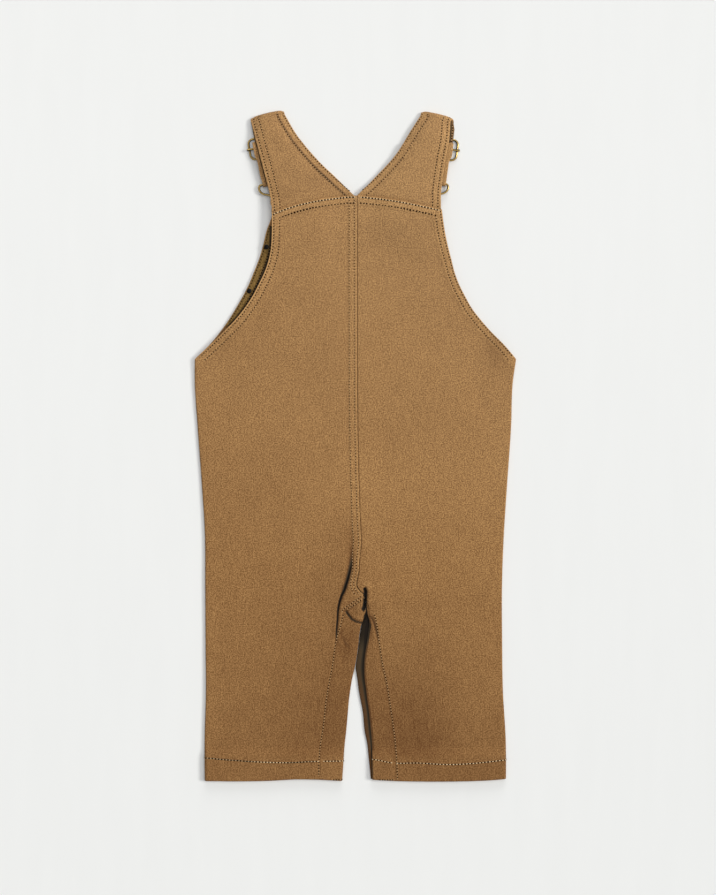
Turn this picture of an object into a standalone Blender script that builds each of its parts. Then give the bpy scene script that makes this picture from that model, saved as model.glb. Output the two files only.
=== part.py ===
"""Toddler's bib-and-brace dungarees, lying flat and face down.

The garment lies on the plane z = 0 with its back up.  +Y runs from the hems to the
shoulders, +X to the right seen from above.  The front halves lie on the plane, turn up
round the inner legs and meet the back halves at the inseams; the back halves lie on
the front ones.  The straps are cut with the back yoke: each runs up over the shoulder,
down to its brace hook, round the hook's bar and back up to its slider.

Sizes in the tables are in millimetres.  Every outline has a left and a right column,
because cloth never lies quite evenly.
"""

import math

import bmesh
import bpy
import numpy as np

MM = 0.001

# ---- driving dimensions (mm) ---------------------------------------------------------
CLOTH = 1.0            # cotton twill with its turnings, as one wall
SEAM_GAP = 0.3         # clearance between pieces that are sewn together
FOOT = -290.4          # height of the hems' lower edges, from the garment's middle
BIB_TOP = 216.5        # top edge of the bib, under the yoke
CROTCH = -143.6        # where the inseams cross the body seams
HEM_DEPTH = 16.0       # turned-up hem
TIP = 76.0             # foot of both armholes, where the side folds begin
BODY_AIR = 0.9         # air between the two layers in the body and the legs
CHEST_AIR = 2.4        # more in the chest, over the armhole facing
HEM_AIR = 2.9          # and at the hems, where the turned-up cloth lies inside
CROTCH_RISE = 2.2      # fullness of the seat above the crotch
HARDWARE_RISE = 4.3    # what the brace buttons lift the bib off the plane
STRAP_WIDTH = 30.0
WIRE = 1.85            # diameter of the brace wire
SLIDER_HEIGHT = 19.5   # slider frame, over its wires, along the strap
SLIDER_SPAN = 37.9     # between the middles of its two side wires
BUTTON_RADIUS = 8.5
STUD_RADIUS = 2.1
FACING_INSETS = np.linspace(0.5, 18.0, 4)   # the facing's columns, in from the edge
FACING_CLEAR = 0.1     # a little more, because the cloth under it curves

# ---- outlines: a row for each height, x to the left and to the right -----------------
SIDE_FOLDS = [  # y, left, right
    (76, -139.6, 139.6), (58, -139.7, 137.0), (16, -137.1, 135.2), (-36, -133.3, 131.6),
    (-78, -130.8, 128.9), (-120, -130.6, 127.4), (-170, -130.3, 127.5),
    (-213, -130.0, 128.2), (-255, -131.1, 130.6), (-290.4, -131.0, 130.8),
]
BACK_ARMHOLES = [
    (208, -72.4, 74.0), (182, -72.6, 78.0), (172, -73.3, 80.4), (162, -75.3, 83.2),
    (151, -79.0, 85.8), (141, -83.8, 89.2), (131, -89.0, 94.2), (120, -96.2, 100.4),
    (110, -104.2, 108.0), (99, -115.0, 117.8), (89, -125.4, 128.0), (76, -139.6, 139.6),
]
FRONT_ARMHOLES = [
    (216.5, -70.8, 70.5), (198, -73.2, 72.0), (188, -77.0, 74.0), (176, -80.0, 76.5),
    (165, -83.2, 79.0), (153, -87.8, 82.0), (138, -94.2, 88.0), (124, -101.8, 95.5),
    (111, -109.7, 104.5), (99, -118.2, 115.0), (88, -127.4, 126.5), (76, -139.6, 139.6),
]
INNER_LEG_FOLDS = [
    (-143.6, 7.8, 11.4), (-154, 5.4, 12.6), (-173, 2.2, 9.5), (-190, -0.1, 7.7),
    (-207, -3.6, 9.0), (-220, -5.6, 9.6), (-243, -7.6, 10.8), (-262, -9.6, 11.8),
    (-276, -10.5, 12.8), (-290.4, -11.5, 14.0),
]
INSEAMS = [
    (-143.6, -8.6, 14.6), (-154, -11.2, 17.0), (-173, -16.2, 19.8), (-190, -18.6, 22.4),
    (-207, -21.8, 26.2), (-220, -24.0, 28.2), (-243, -26.6, 31.6), (-262, -29.4, 33.8),
    (-276, -30.4, 34.6), (-290.4, -30.5, 35.2),
]
CENTRE_BACK = [  # y, x
    (220, 1.7), (127, 1.7), (40, 2.2), (-29, 2.7), (-75, 4.6), (-90, 5.0), (-105, 3.6),
    (-116, 2.6), (-128, 5.0), (-136, 6.5), (-143.6, 6.5),
]
CENTRE_FRONT = [(216.5, 0.0), (60, 0.0), (-60, 3.0), (-143.6, 9.5)]
YOKE_SEAM = [  # x, y
    (-72.4, 203.0), (-57, 208.8), (-39.5, 213.5), (-22, 216.6), (0, 218.6), (17, 217.2),
    (38.6, 214.0), (56, 210.5), (74, 206.5),
]

# ---- rows where the panels' sections are taken ---------------------------------------
CHEST_ROWS = [191, 180, 169, 158, 147, 136, 125, 115, 105, 96, 88, 81]
BODY_ROWS = [76, 68, 40, 8, -36, -78, -96, -110, -122, -134, -143.2]
LEG_ROWS = [-143.8, -154, -173, -190, -207, -220, -243, -262, -270, -276, -290.4]
FACING_ROWS = CHEST_ROWS[:-2]
YOKE_FADE = 150.0      # below this height the rows no longer follow the yoke's arch
BACK_TOP = 203.0       # nominal height of the back's top row

# ---- straps: where each one's hook bar lies, its lean, and its edges ------------------
STRAPS = [
    {
        "side": "left", "out": -1, "bar": (-65.7, 230.3), "lean": 10.8,
        "outer": [(-72.6, 203.6), (-73.2, 213), (-77.4, 231), (-84.2, 257), (-90.6, 281.2)],
        "inner": [(-0.6, 219.4), (-14.3, 231.3), (-32.6, 248.5), (-49.8, 268.9),
                  (-61.4, 288.2)],
        "under_corner": (-90.6, 281.2), "slider_up": 31.8, "slider_shift": 1.8,
        "hook_shift": 0.9,
    },
    {
        "side": "right", "out": 1, "bar": (63.7, 230.2), "lean": 7.7,
        "outer": [(74.0, 207.0), (74.4, 222.6), (78.0, 248), (81.2, 265), (82.6, 281.8)],
        "inner": [(0.6, 219.4), (14.3, 231.3), (34.0, 252.0), (47.3, 273.0), (56.6, 287.6)],
        "under_corner": (85.4, 281.0), "slider_up": 30.0, "slider_shift": 1.9,
        "hook_shift": -0.7,
    },
]
BUTTON_DOWN = 24.0     # from a hook's bar down to its button
BAR_HEIGHT = CLOTH + SEAM_GAP + WIRE / 2
HOOK_SETTLES = 14.0    # below this the hook lies level over the button
BUTTON_DISC = 1.8
HOOK_AT_BUTTON = BUTTON_DISC + SEAM_GAP + WIRE / 2
SLIDER_BAR_HEIGHT = WIRE + SEAM_GAP + 0.1 + WIRE / 2
FACING_STUDS = [("upper", 173.2, 3.5), ("lower", 135.0, 3.4)]   # name, y, in from edge

# ---- colours: linear RGB, roughness, metallic ----------------------------------------
FINISHES = {
    "back": ((0.330, 0.178, 0.074), 0.90, 0.0),
    "strap": ((0.365, 0.202, 0.088), 0.90, 0.0),
    "front": ((0.300, 0.160, 0.066), 0.90, 0.0),
    "facing": ((0.150, 0.085, 0.030), 0.90, 0.0),
    "stud": ((0.010, 0.010, 0.014), 0.45, 0.6),
    "brass": ((0.330, 0.200, 0.060), 0.35, 1.0),
}


def clear_scene():
    """Remove the start-up objects, so that only the garment is left."""
    for thing in list(bpy.data.objects):
        bpy.data.objects.remove(thing, do_unlink=True)


def finish(name):
    """The Principled material of one finish, made once."""
    found = bpy.data.materials.get(name)
    if found:
        return found
    colour, roughness, metallic = FINISHES[name]
    material = bpy.data.materials.new(name)
    material.use_nodes = True
    shader = material.node_tree.nodes["Principled BSDF"]
    shader.inputs["Base Color"].default_value = (*colour, 1.0)
    shader.inputs["Roughness"].default_value = roughness
    shader.inputs["Metallic"].default_value = metallic
    return material


# ---- curves through tables -------------------------------------------------------------
def through(places, values, at):
    """A smooth curve through the table: cubic Hermite, slopes from the neighbours."""
    places = np.asarray(places, float)
    values = np.asarray(values, float)
    order = np.argsort(places)
    places, values = places[order], values[order]
    slopes = np.gradient(values, places)
    at = np.clip(np.asarray(at, float), places[0], places[-1])
    cell = np.clip(np.searchsorted(places, at) - 1, 0, len(places) - 2)
    width = places[cell + 1] - places[cell]
    t = (at - places[cell]) / width
    rise = (values[cell + 1] - values[cell]) * (3 * t**2 - 2 * t**3)
    lean = width * (slopes[cell] * t * (1 - t) ** 2 - slopes[cell + 1] * t**2 * (1 - t))
    return values[cell] + rise + lean


def column(table, out, y):
    """x of an outline table at the height y, on the side that out gives."""
    which = 1 if out < 0 else 2
    return through([row[0] for row in table], [row[which] for row in table], y)


def centre(table, y):
    """x of a centre seam at the height y."""
    return through([row[0] for row in table], [row[1] for row in table], y)


def yoke(x):
    """Height of the yoke seam's arch at x."""
    return through([row[0] for row in YOKE_SEAM], [row[1] for row in YOKE_SEAM], x)


def ease(t):
    """0 to 1 with level ends."""
    t = np.clip(t, 0.0, 1.0)
    return t * t * (3 - 2 * t)


# ---- heights of the layers -------------------------------------------------------------
def strap_axes(strap):
    """The strap's own directions in plan: up along it, and out across it."""
    lean = math.radians(strap["lean"])
    out = strap["out"]
    up = np.array([out * math.sin(lean), math.cos(lean)])
    across = np.array([out * math.cos(lean), -math.sin(lean)])
    return up, across


def strap_point(strap, up, across):
    """Plan point at a distance up from the hook's bar and across from the strap's middle."""
    along, over = strap_axes(strap)
    base = np.array(strap["bar"])
    return base + np.multiply.outer(up, along) + np.multiply.outer(across, over)


def hardware_hump(x, y):
    """1 over the sliders, hooks and buttons, falling to 0 well away from them."""
    flat, reach, towards_shoulder = 12.0, 56.0, 1.5
    hump = np.zeros(np.broadcast(x, y).shape)
    for strap in STRAPS:
        top = strap_point(strap, strap["slider_up"], 0.0)
        foot = strap_point(strap, -BUTTON_DOWN, 0.0)
        run = foot - top
        t = ((x - top[0]) * run[0] + (y - top[1]) * run[1]) / run.dot(run)
        t = np.clip(t, 0, 1)
        far = np.hypot(x - top[0] - t * run[0], y - top[1] - t * run[1])
        far = np.where(t > 0, far, far * towards_shoulder)
        hump = np.maximum(hump, 1 - ease((far - flat) / (reach - flat)))
    return hump


def under_height(x, y):
    """Underside of the layer that lies on the plane."""
    return HARDWARE_RISE * hardware_hump(x, y)


def top_height(x, y):
    """Upper surface of the upper layer."""
    air = BODY_AIR + (CHEST_AIR - BODY_AIR) * ease((y - 40) / 60)
    air = air + (HEM_AIR - BODY_AIR) * ease((-262 - y) / 8)
    air = air + CROTCH_RISE * (1 - ease((np.hypot(x - 2, y + 122) - 6) / 40))
    return 2 * CLOTH + air + under_height(x, y)


def roll(y):
    """How far the two layers roll together at the sides: none at the armholes."""
    return ease((84 - y) / 14)


# ---- sheets ----------------------------------------------------------------------------
QUARTER = np.radians([0, 3, 32, 61, 90])


def grid_faces(rows, columns, flip):
    """Quads of a grid of points numbered row by row."""
    i, j = np.meshgrid(np.arange(rows - 1), np.arange(columns - 1), indexing="ij")
    a = (i * columns + j).ravel()
    quads = np.stack([a, a + 1, a + columns + 1, a + columns], axis=1)
    return quads[:, ::-1] if flip else quads


def sheet(name, finish_name, grids):
    """One piece of cloth: grids of surface points, joined where they meet, with a wall.

    Each grid is (points, flip); the faces point out of the cloth's right side, and the
    wall grows inward from them.
    """
    points, faces, count = [], [], 0
    for grid, flip in grids:
        rows, columns = grid.shape[:2]
        points.append(grid.reshape(-1, 3))
        faces.append(grid_faces(rows, columns, flip) + count)
        count += rows * columns
    mesh = bpy.data.meshes.new(name)
    mesh.from_pydata((np.vstack(points) * MM).tolist(), [], np.vstack(faces).tolist())
    shape = bmesh.new()
    shape.from_mesh(mesh)
    bmesh.ops.remove_doubles(shape, verts=shape.verts, dist=1e-6)
    shape.to_mesh(mesh)
    shape.free()
    piece = bpy.data.objects.new(name, mesh)
    bpy.context.collection.objects.link(piece)
    mesh.materials.append(finish(finish_name))
    wall = piece.modifiers.new("wall", "SOLIDIFY")
    wall.thickness = CLOTH * MM
    wall.offset = -1.0
    return piece


def outer_edge(table, out, y):
    """The garment's outer edge: an armhole down to its tip, then the side fold."""
    return np.where(y > TIP, column(table, out, y), column(SIDE_FOLDS, out, y))


def back_inner(out, y):
    """Inner edge of a back half: the centre back seam, then the inseam."""
    seam = centre(CENTRE_BACK, y) + out * SEAM_GAP / 2
    return np.where(y > CROTCH, seam, column(INSEAMS, out, y) + out * SEAM_GAP / 2)


def side_columns(edge, inner, out, radius, spread):
    """x along a row: a quarter circle's worth at the edge, then even steps inward."""
    turn = edge - out * radius * (1 - np.cos(QUARTER))
    steps = np.linspace(0, 1, spread + 1)[1:]
    flat = turn[-1] + (inner - turn[-1]) * steps
    return np.concatenate([turn, flat])


def turn_down(count):
    """1 at the seam on a side fold, 0 from the end of the quarter turn inward."""
    return np.concatenate([1 - np.sin(QUARTER), np.zeros(count - len(QUARTER))])


def back_half(out, side):
    """The back and its leg: from the side fold over the top to its inner seam."""
    rows = []
    for y in [BACK_TOP] + CHEST_ROWS + BODY_ROWS + LEG_ROWS:
        edge = float(outer_edge(BACK_ARMHOLES, out, np.array(y)))
        radius = float(top_height(edge, y)) / 2
        x = side_columns(edge, float(back_inner(out, np.array(y))), out, radius, 7)
        follow = ease((y - YOKE_FADE) / (BACK_TOP - YOKE_FADE))
        height = y + (yoke(x) - BACK_TOP - SEAM_GAP) * follow
        z = top_height(x, height)
        drop = roll(y) * (radius - SEAM_GAP / 2)
        rows.append(np.stack([x, height, z - drop * turn_down(len(x))], axis=1))
    return sheet("back_" + side, "back", [(np.array(rows), out < 0)])


def front_half(out, side):
    """The front and its leg: along the plane, up round the inner leg to the inseam."""
    below, around = [], []
    fold_angles = np.radians(np.linspace(0, 180, 7))
    for y in [BIB_TOP, 204] + CHEST_ROWS + BODY_ROWS + LEG_ROWS:
        edge = float(outer_edge(FRONT_ARMHOLES, out, np.array(y)))
        radius = float(top_height(edge, y)) / 2
        fold = float(column(INNER_LEG_FOLDS, out, y))
        bend = float(top_height(fold, y)) / 2
        on_leg = y < CROTCH
        seam = float(centre(CENTRE_FRONT, y)) + out * SEAM_GAP / 2
        inner = fold + out * bend if on_leg else seam
        x = side_columns(edge, inner, out, radius, 6)
        z = under_height(x, y) + roll(y) * (radius - SEAM_GAP / 2) * turn_down(len(x))
        below.append(np.stack([x, np.full(x.shape, y), z], axis=1))
        if on_leg:
            seam = float(column(INSEAMS, out, y)) - out * SEAM_GAP / 2
            turn_x = inner - out * bend * np.sin(fold_angles)
            turn_z = bend * (1 - np.cos(fold_angles))
            flap_x = np.linspace(inner, seam, 4)[1:]
            x = np.concatenate([turn_x, flap_x])
            z = np.concatenate([turn_z, top_height(flap_x, y)])
            height = np.full(x.shape, y)
            if not around:
                height -= 2 * SEAM_GAP * np.clip(np.arange(len(x)) / len(turn_x), 0, 1)
            around.append(np.stack([x, height, z], axis=1))
    grids = [(np.array(below), out > 0), (np.array(around), out > 0)]
    return sheet("front_" + side, "front", grids)


def strap_run(strap):
    """Every station along a strap: its outer and inner plan points."""
    outer, inner = np.array(strap["outer"], float), np.array(strap["inner"], float)
    marks = np.linspace(0, 1, len(outer))
    along = np.linspace(0, 1, 13)
    edge_out = np.stack([through(marks, outer[:, k], along) for k in (0, 1)], axis=1)
    edge_in = np.stack([through(marks, inner[:, k], along) for k in (0, 1)], axis=1)
    return edge_out, edge_in


def strap(strap_row):
    """Yoke and strap: over the shoulder, under to the hook's bar and back to the slider."""
    up, over = strap_axes(strap_row)
    across = np.linspace(0, 1, 5)
    rows = []

    # on the back: from the yoke seam to the shoulder fold
    edge_out, edge_in = strap_run(strap_row)
    for step, (a, b) in enumerate(zip(edge_out, edge_in)):
        plan = a + np.outer(across, b - a)
        bow = yoke(plan[:, 0]) + SEAM_GAP - (yoke(a[0]) + (yoke(b[0]) - yoke(a[0])) * across)
        plan[:, 1] += bow * max(0.0, 1 - step / 4)
        rows.append(np.column_stack([plan, top_height(plan[:, 0], plan[:, 1])]))

    # the shoulder fold: half a turn about the line that the last row gives
    last = rows[-1]
    half = STRAP_WIDTH / 2
    line = last[-1, :2] - last[0, :2]
    away = np.array([-line[1], line[0]]) / np.linalg.norm(line)
    away = away if away[1] > 0 else -away
    shift = np.array(strap_row["under_corner"]) - last[0, :2]
    radius = last[:, 2] / 2
    for angle in np.radians([-60, -30, 0, 30, 60]):
        reach = np.outer(radius * math.cos(angle), away)
        moved = np.outer(1 - across, shift) * (0.5 + 0.5 * math.sin(angle))
        z = radius * (1 - math.sin(angle))
        rows.append(np.column_stack([last[:, :2] + reach + moved, z]))
    folded = last[:, :2] + np.outer(1 - across, shift)
    rows.append(np.column_stack([folded, np.zeros(len(across))]))

    # underneath: down to the bar, lifted over the slider's wires, and under its bar
    slider = strap_row["slider_up"]
    wires = [-18, -11.2, -8.8, -6.5, -3, 0, 3, 6.5, 8.8, 11.2, 18]
    lifts = [0, 2.15, 2.25, 2.15, 1.1, 0.95, 1.1, 2.15, 2.25, 2.15, 0]
    for rise, lift in reversed(list(zip(wires, lifts))):
        plan = strap_point(strap_row, slider + rise, half) - np.outer(across, over) * 2 * half
        rows.append(np.column_stack([plan, np.full(len(across), lift)]))

    # round the hook's bar
    bend = BAR_HEIGHT
    for angle in np.radians([-90, -45, 0, 45, 90]):
        plan = strap_point(strap_row, -bend * math.cos(angle), half)
        plan = plan - np.outer(across, over) * 2 * half
        z = np.full(len(across), bend * (1 + math.sin(angle)))
        rows.append(np.column_stack([plan, z]))

    # back up over the slider's bar, where the end is sewn down
    for rise, z in [(slider - 18, 4.45), (slider - 9, 4.65), (slider - 3, 5.45),
                    (slider, 5.55), (slider + 5, 5.3)]:
        plan = strap_point(strap_row, rise, half) - np.outer(across, over) * 2 * half
        rows.append(np.column_stack([plan, np.full(len(across), z)]))
    return sheet("strap_" + strap_row["side"], "strap", [(np.array(rows), strap_row["out"] > 0)])


def facing():
    """The facing that shows inside the left armhole, on the front's wrong side."""
    rows = []
    for y in FACING_ROWS:
        x = column(FRONT_ARMHOLES, -1, y) + FACING_INSETS
        z = under_height(x, y) + 2 * CLOTH + SEAM_GAP + FACING_CLEAR
        rows.append(np.stack([x, np.full(x.shape, y), z], axis=1))
    return sheet("armhole_facing", "facing", [(np.array(rows), True)])


def hem(out, side):
    """The turned-up hem: a flat ring of cloth inside the foot of the leg."""
    arc = np.radians(np.linspace(-90, 90, 7))
    loops = {}
    for wall, inset in [("outer", CLOTH + SEAM_GAP), ("inner", 2 * CLOTH + SEAM_GAP)]:
        for y in (FOOT + SEAM_GAP, FOOT + HEM_DEPTH):
            side_x = float(column(SIDE_FOLDS, out, y))
            fold_x = float(column(INNER_LEG_FOLDS, out, y))
            half = float(top_height(side_x, FOOT)) / 2
            radius = half - inset
            low, high = sorted([side_x, fold_x])
            turns = [(high - half, 1), (low + half, -1)]
            loop = [np.stack([mid + way * radius * np.cos(arc),
                              half + way * radius * np.sin(arc)], axis=1)
                    for mid, way in turns]
            loop = np.vstack(loop)
            loops[wall, y] = np.insert(loop, 1, y, axis=1)
    foot, top = FOOT + SEAM_GAP, FOOT + HEM_DEPTH
    ring = [loops["outer", foot], loops["outer", top], loops["inner", top],
            loops["inner", foot]]
    count = len(ring[0])
    points = np.vstack(ring) * MM
    faces = []
    for k in range(4):
        for j in range(count):
            n = (j + 1) % count
            a, b = k * count, ((k + 1) % 4) * count
            faces.append((a + j, a + n, b + n, b + j))
    mesh = bpy.data.meshes.new("hem_" + side)
    mesh.from_pydata(points.tolist(), [], faces)
    shape = bmesh.new()
    shape.from_mesh(mesh)
    bmesh.ops.recalc_face_normals(shape, faces=shape.faces)
    shape.to_mesh(mesh)
    shape.free()
    piece = bpy.data.objects.new("hem_" + side, mesh)
    bpy.context.collection.objects.link(piece)
    mesh.materials.append(finish("front"))
    return piece


# ---- brace hardware --------------------------------------------------------------------
def wire(name, points, closed):
    """A round brass wire along the points, its ends filled where it has any."""
    curve = bpy.data.curves.new(name, "CURVE")
    curve.dimensions = "3D"
    curve.bevel_depth = WIRE / 2 * MM
    curve.bevel_resolution = 2
    curve.use_fill_caps = not closed
    spline = curve.splines.new("POLY")
    spline.points.add(len(points) - 1)
    for place, point in zip(spline.points, points):
        place.co = (point[0] * MM, point[1] * MM, point[2] * MM, 1.0)
    spline.use_cyclic_u = closed
    curve.materials.append(finish("brass"))
    piece = bpy.data.objects.new(name, curve)
    bpy.context.collection.objects.link(piece)
    return piece


def slider(strap_row):
    """A round-cornered wire frame, and the bar that the strap's end is sewn round."""
    half_up = (SLIDER_HEIGHT - WIRE) / 2
    half_over = SLIDER_SPAN / 2
    corner = 4.2
    frame = []
    for k in range(4):
        right = 1 if k in (0, 3) else -1
        top = 1 if k in (0, 1) else -1
        for angle in np.radians(np.linspace(0, 90, 4) + 90 * k):
            frame.append((right * (half_over - corner) + corner * math.cos(angle),
                          top * (half_up - corner) + corner * math.sin(angle)))
    middle = strap_row["slider_up"]
    shift = strap_row["slider_shift"]
    points = []
    for over, up in frame:
        plan = strap_point(strap_row, middle + up, over + shift)
        points.append((plan[0], plan[1], WIRE / 2))
    wire("slider_" + strap_row["side"], points, True)
    ends = []
    for over in np.linspace(-1, 1, 5) * (half_over + 1.5):
        plan = strap_point(strap_row, middle, over + shift)
        ends.append((plan[0], plan[1], SLIDER_BAR_HEIGHT))
    wire("slider_bar_" + strap_row["side"], ends, False)


HOOK_HALF = [  # across, up: half of the brace hook's wire, from the middle of its bar
    (0, 0), (8, 0), (16.2, 0), (17.7, -1.2), (18.2, -3.6), (17.3, -6.4), (14.6, -8.6),
    (10.6, -9.8), (8.8, -11.6), (8.2, -14.5), (6.8, -18.0), (4.6, -21.0), (3.9, -24.0),
    (3.3, -26.6), (1.7, -28.3),
]


def hook(strap_row):
    """The brace hook: a bar for the strap, an eye for the button, and a narrow slot."""
    half = [point for point in HOOK_HALF if point[0] > 0]
    loop = [HOOK_HALF[0]] + half + [(-over, up) for over, up in reversed(half)]
    points = []
    for over, up in loop:
        plan = strap_point(strap_row, up, over + strap_row["hook_shift"])
        sink = min(1.0, -up / HOOK_SETTLES)
        points.append((plan[0], plan[1], BAR_HEIGHT + (HOOK_AT_BUTTON - BAR_HEIGHT) * sink))
    wire("hook_" + strap_row["side"], points, True)


def turned(name, finish_name, centre_point, profile):
    """A turned piece: the profile of (radius, height) pairs about an upright axis."""
    ring = 24
    shape = bmesh.new()
    loops = []
    for radius, height in profile:
        angles = np.linspace(0, 2 * math.pi, ring, endpoint=False)
        loops.append([shape.verts.new(((centre_point[0] + radius * math.cos(a)) * MM,
                                       (centre_point[1] + radius * math.sin(a)) * MM,
                                       (centre_point[2] + height) * MM)) for a in angles])
    for low, high in zip(loops, loops[1:]):
        for j in range(ring):
            n = (j + 1) % ring
            shape.faces.new((low[j], low[n], high[n], high[j]))
    shape.faces.new(list(reversed(loops[0])))
    shape.faces.new(loops[-1])
    mesh = bpy.data.meshes.new(name)
    shape.to_mesh(mesh)
    shape.free()
    mesh.materials.append(finish(finish_name))
    piece = bpy.data.objects.new(name, mesh)
    bpy.context.collection.objects.link(piece)
    return piece


def brace_button(strap_row):
    """A sewn-through bib button with its neck, which the hook's slot holds."""
    plan = strap_point(strap_row, -BUTTON_DOWN - 0.6, strap_row["hook_shift"])
    neck_top = HARDWARE_RISE - SEAM_GAP
    turned("button_" + strap_row["side"], "brass", (plan[0], plan[1], 0.0), [
        (BUTTON_RADIUS - 0.8, 0.0), (BUTTON_RADIUS, 0.5), (BUTTON_RADIUS, BUTTON_DISC - 0.5),
        (BUTTON_RADIUS - 0.6, BUTTON_DISC), (2.2, BUTTON_DISC), (2.2, neck_top)])


def facing_height(inset, y):
    """Rise of the facing's facets at a distance in from its edge, and at the height y."""
    rises = []
    for row in FACING_ROWS:
        places = column(FRONT_ARMHOLES, -1, row) + FACING_INSETS
        rises.append(np.interp(inset, FACING_INSETS, under_height(places, row)))
    return float(np.interp(y, FACING_ROWS[::-1], rises[::-1]))


def facing_stud(name, y, inset):
    """A small dark stud, level on the highest point that the armhole facing has under it."""
    x = float(column(FRONT_ARMHOLES, -1, y)) + inset
    reach = (-STUD_RADIUS, STUD_RADIUS)
    rise = max(facing_height(inset + over, y + up) for over in reach for up in reach)
    seat = rise + 2 * CLOTH + 2 * SEAM_GAP + FACING_CLEAR
    turned("facing_stud_" + name, "stud", (x, y, seat), [
        (STUD_RADIUS, 0.0), (STUD_RADIUS, 0.3), (STUD_RADIUS * 0.55, 0.7)])


def build():
    """Make every piece."""
    clear_scene()
    for out, side in [(-1, "left"), (1, "right")]:
        back_half(out, side)
        front_half(out, side)
        hem(out, side)
    for strap_row in STRAPS:
        strap(strap_row)
        slider(strap_row)
        hook(strap_row)
        brace_button(strap_row)
    facing()
    for name, y, inset in FACING_STUDS:
        facing_stud(name, y, inset)


build()
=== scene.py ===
# %% [markdown]
# # A toddler's dungarees, laid flat and face down
# The garment is a bib and brace in brown cotton twill. It lies on its front, so what shows
# is the back: two back panels joined by a felled seam, a yoke that runs up into two straps,
# and the legs. The straps fold over the shoulders to brass sliders and hooks under the bib.
# Cloth could be made here by simulation, but a garment that someone has laid out and smoothed
# by hand has no drape left to simulate. Each panel is therefore worked out as a surface: a
# function of two parameters on a grid, with the seams, folds and creases added to its height.

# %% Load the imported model
import math

import bmesh
import bpy
import numpy as np
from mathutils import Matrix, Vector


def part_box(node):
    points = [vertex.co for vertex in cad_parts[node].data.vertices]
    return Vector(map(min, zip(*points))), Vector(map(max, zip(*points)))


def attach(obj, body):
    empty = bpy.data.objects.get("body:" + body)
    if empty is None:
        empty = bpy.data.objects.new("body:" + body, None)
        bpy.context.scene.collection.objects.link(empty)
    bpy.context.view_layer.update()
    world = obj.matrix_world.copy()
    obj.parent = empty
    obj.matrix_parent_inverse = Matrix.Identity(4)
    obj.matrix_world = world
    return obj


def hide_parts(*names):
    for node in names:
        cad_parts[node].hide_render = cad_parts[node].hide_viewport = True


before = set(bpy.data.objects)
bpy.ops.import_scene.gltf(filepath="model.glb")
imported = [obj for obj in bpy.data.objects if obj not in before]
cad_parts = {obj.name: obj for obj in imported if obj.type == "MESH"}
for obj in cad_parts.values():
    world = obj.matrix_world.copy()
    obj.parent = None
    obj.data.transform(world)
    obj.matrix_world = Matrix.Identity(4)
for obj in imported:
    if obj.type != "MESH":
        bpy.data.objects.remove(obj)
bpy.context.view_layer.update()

MM = 0.001

# %% [markdown]
# ## Camera
# A flat garment is shown from straight above. A long lens on a high camera keeps its outline
# true, because a near camera would make the thick middle of the cloth bulge.

# %% Camera
LENS, SENSOR = 85.0, 36.0
FIELD = 776.9          # mm that the view takes in from top to bottom
CLOTH_LEVEL = 4.0      # mm, the height at which that is true
AIM = (2.2, -0.9)      # mm, the point under the camera

camera = bpy.data.objects.new("camera", bpy.data.cameras.new("camera"))
bpy.context.scene.collection.objects.link(camera)
camera.data.lens = LENS
camera.data.sensor_width = SENSOR
camera.location = (AIM[0] * MM, AIM[1] * MM, (FIELD * LENS / SENSOR + CLOTH_LEVEL) * MM)
bpy.context.scene.camera = camera
print("camera height in m:", round(camera.location.z, 3))

# %% [markdown]
# ## Finishes
# A finish is a material whose colour, roughness and relief come from nodes. Writing each node
# by hand is slow to read, so a small class stands for a value that varies over the surface:
# sums and products of such values add the Math nodes, and one method makes any other node.


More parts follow.
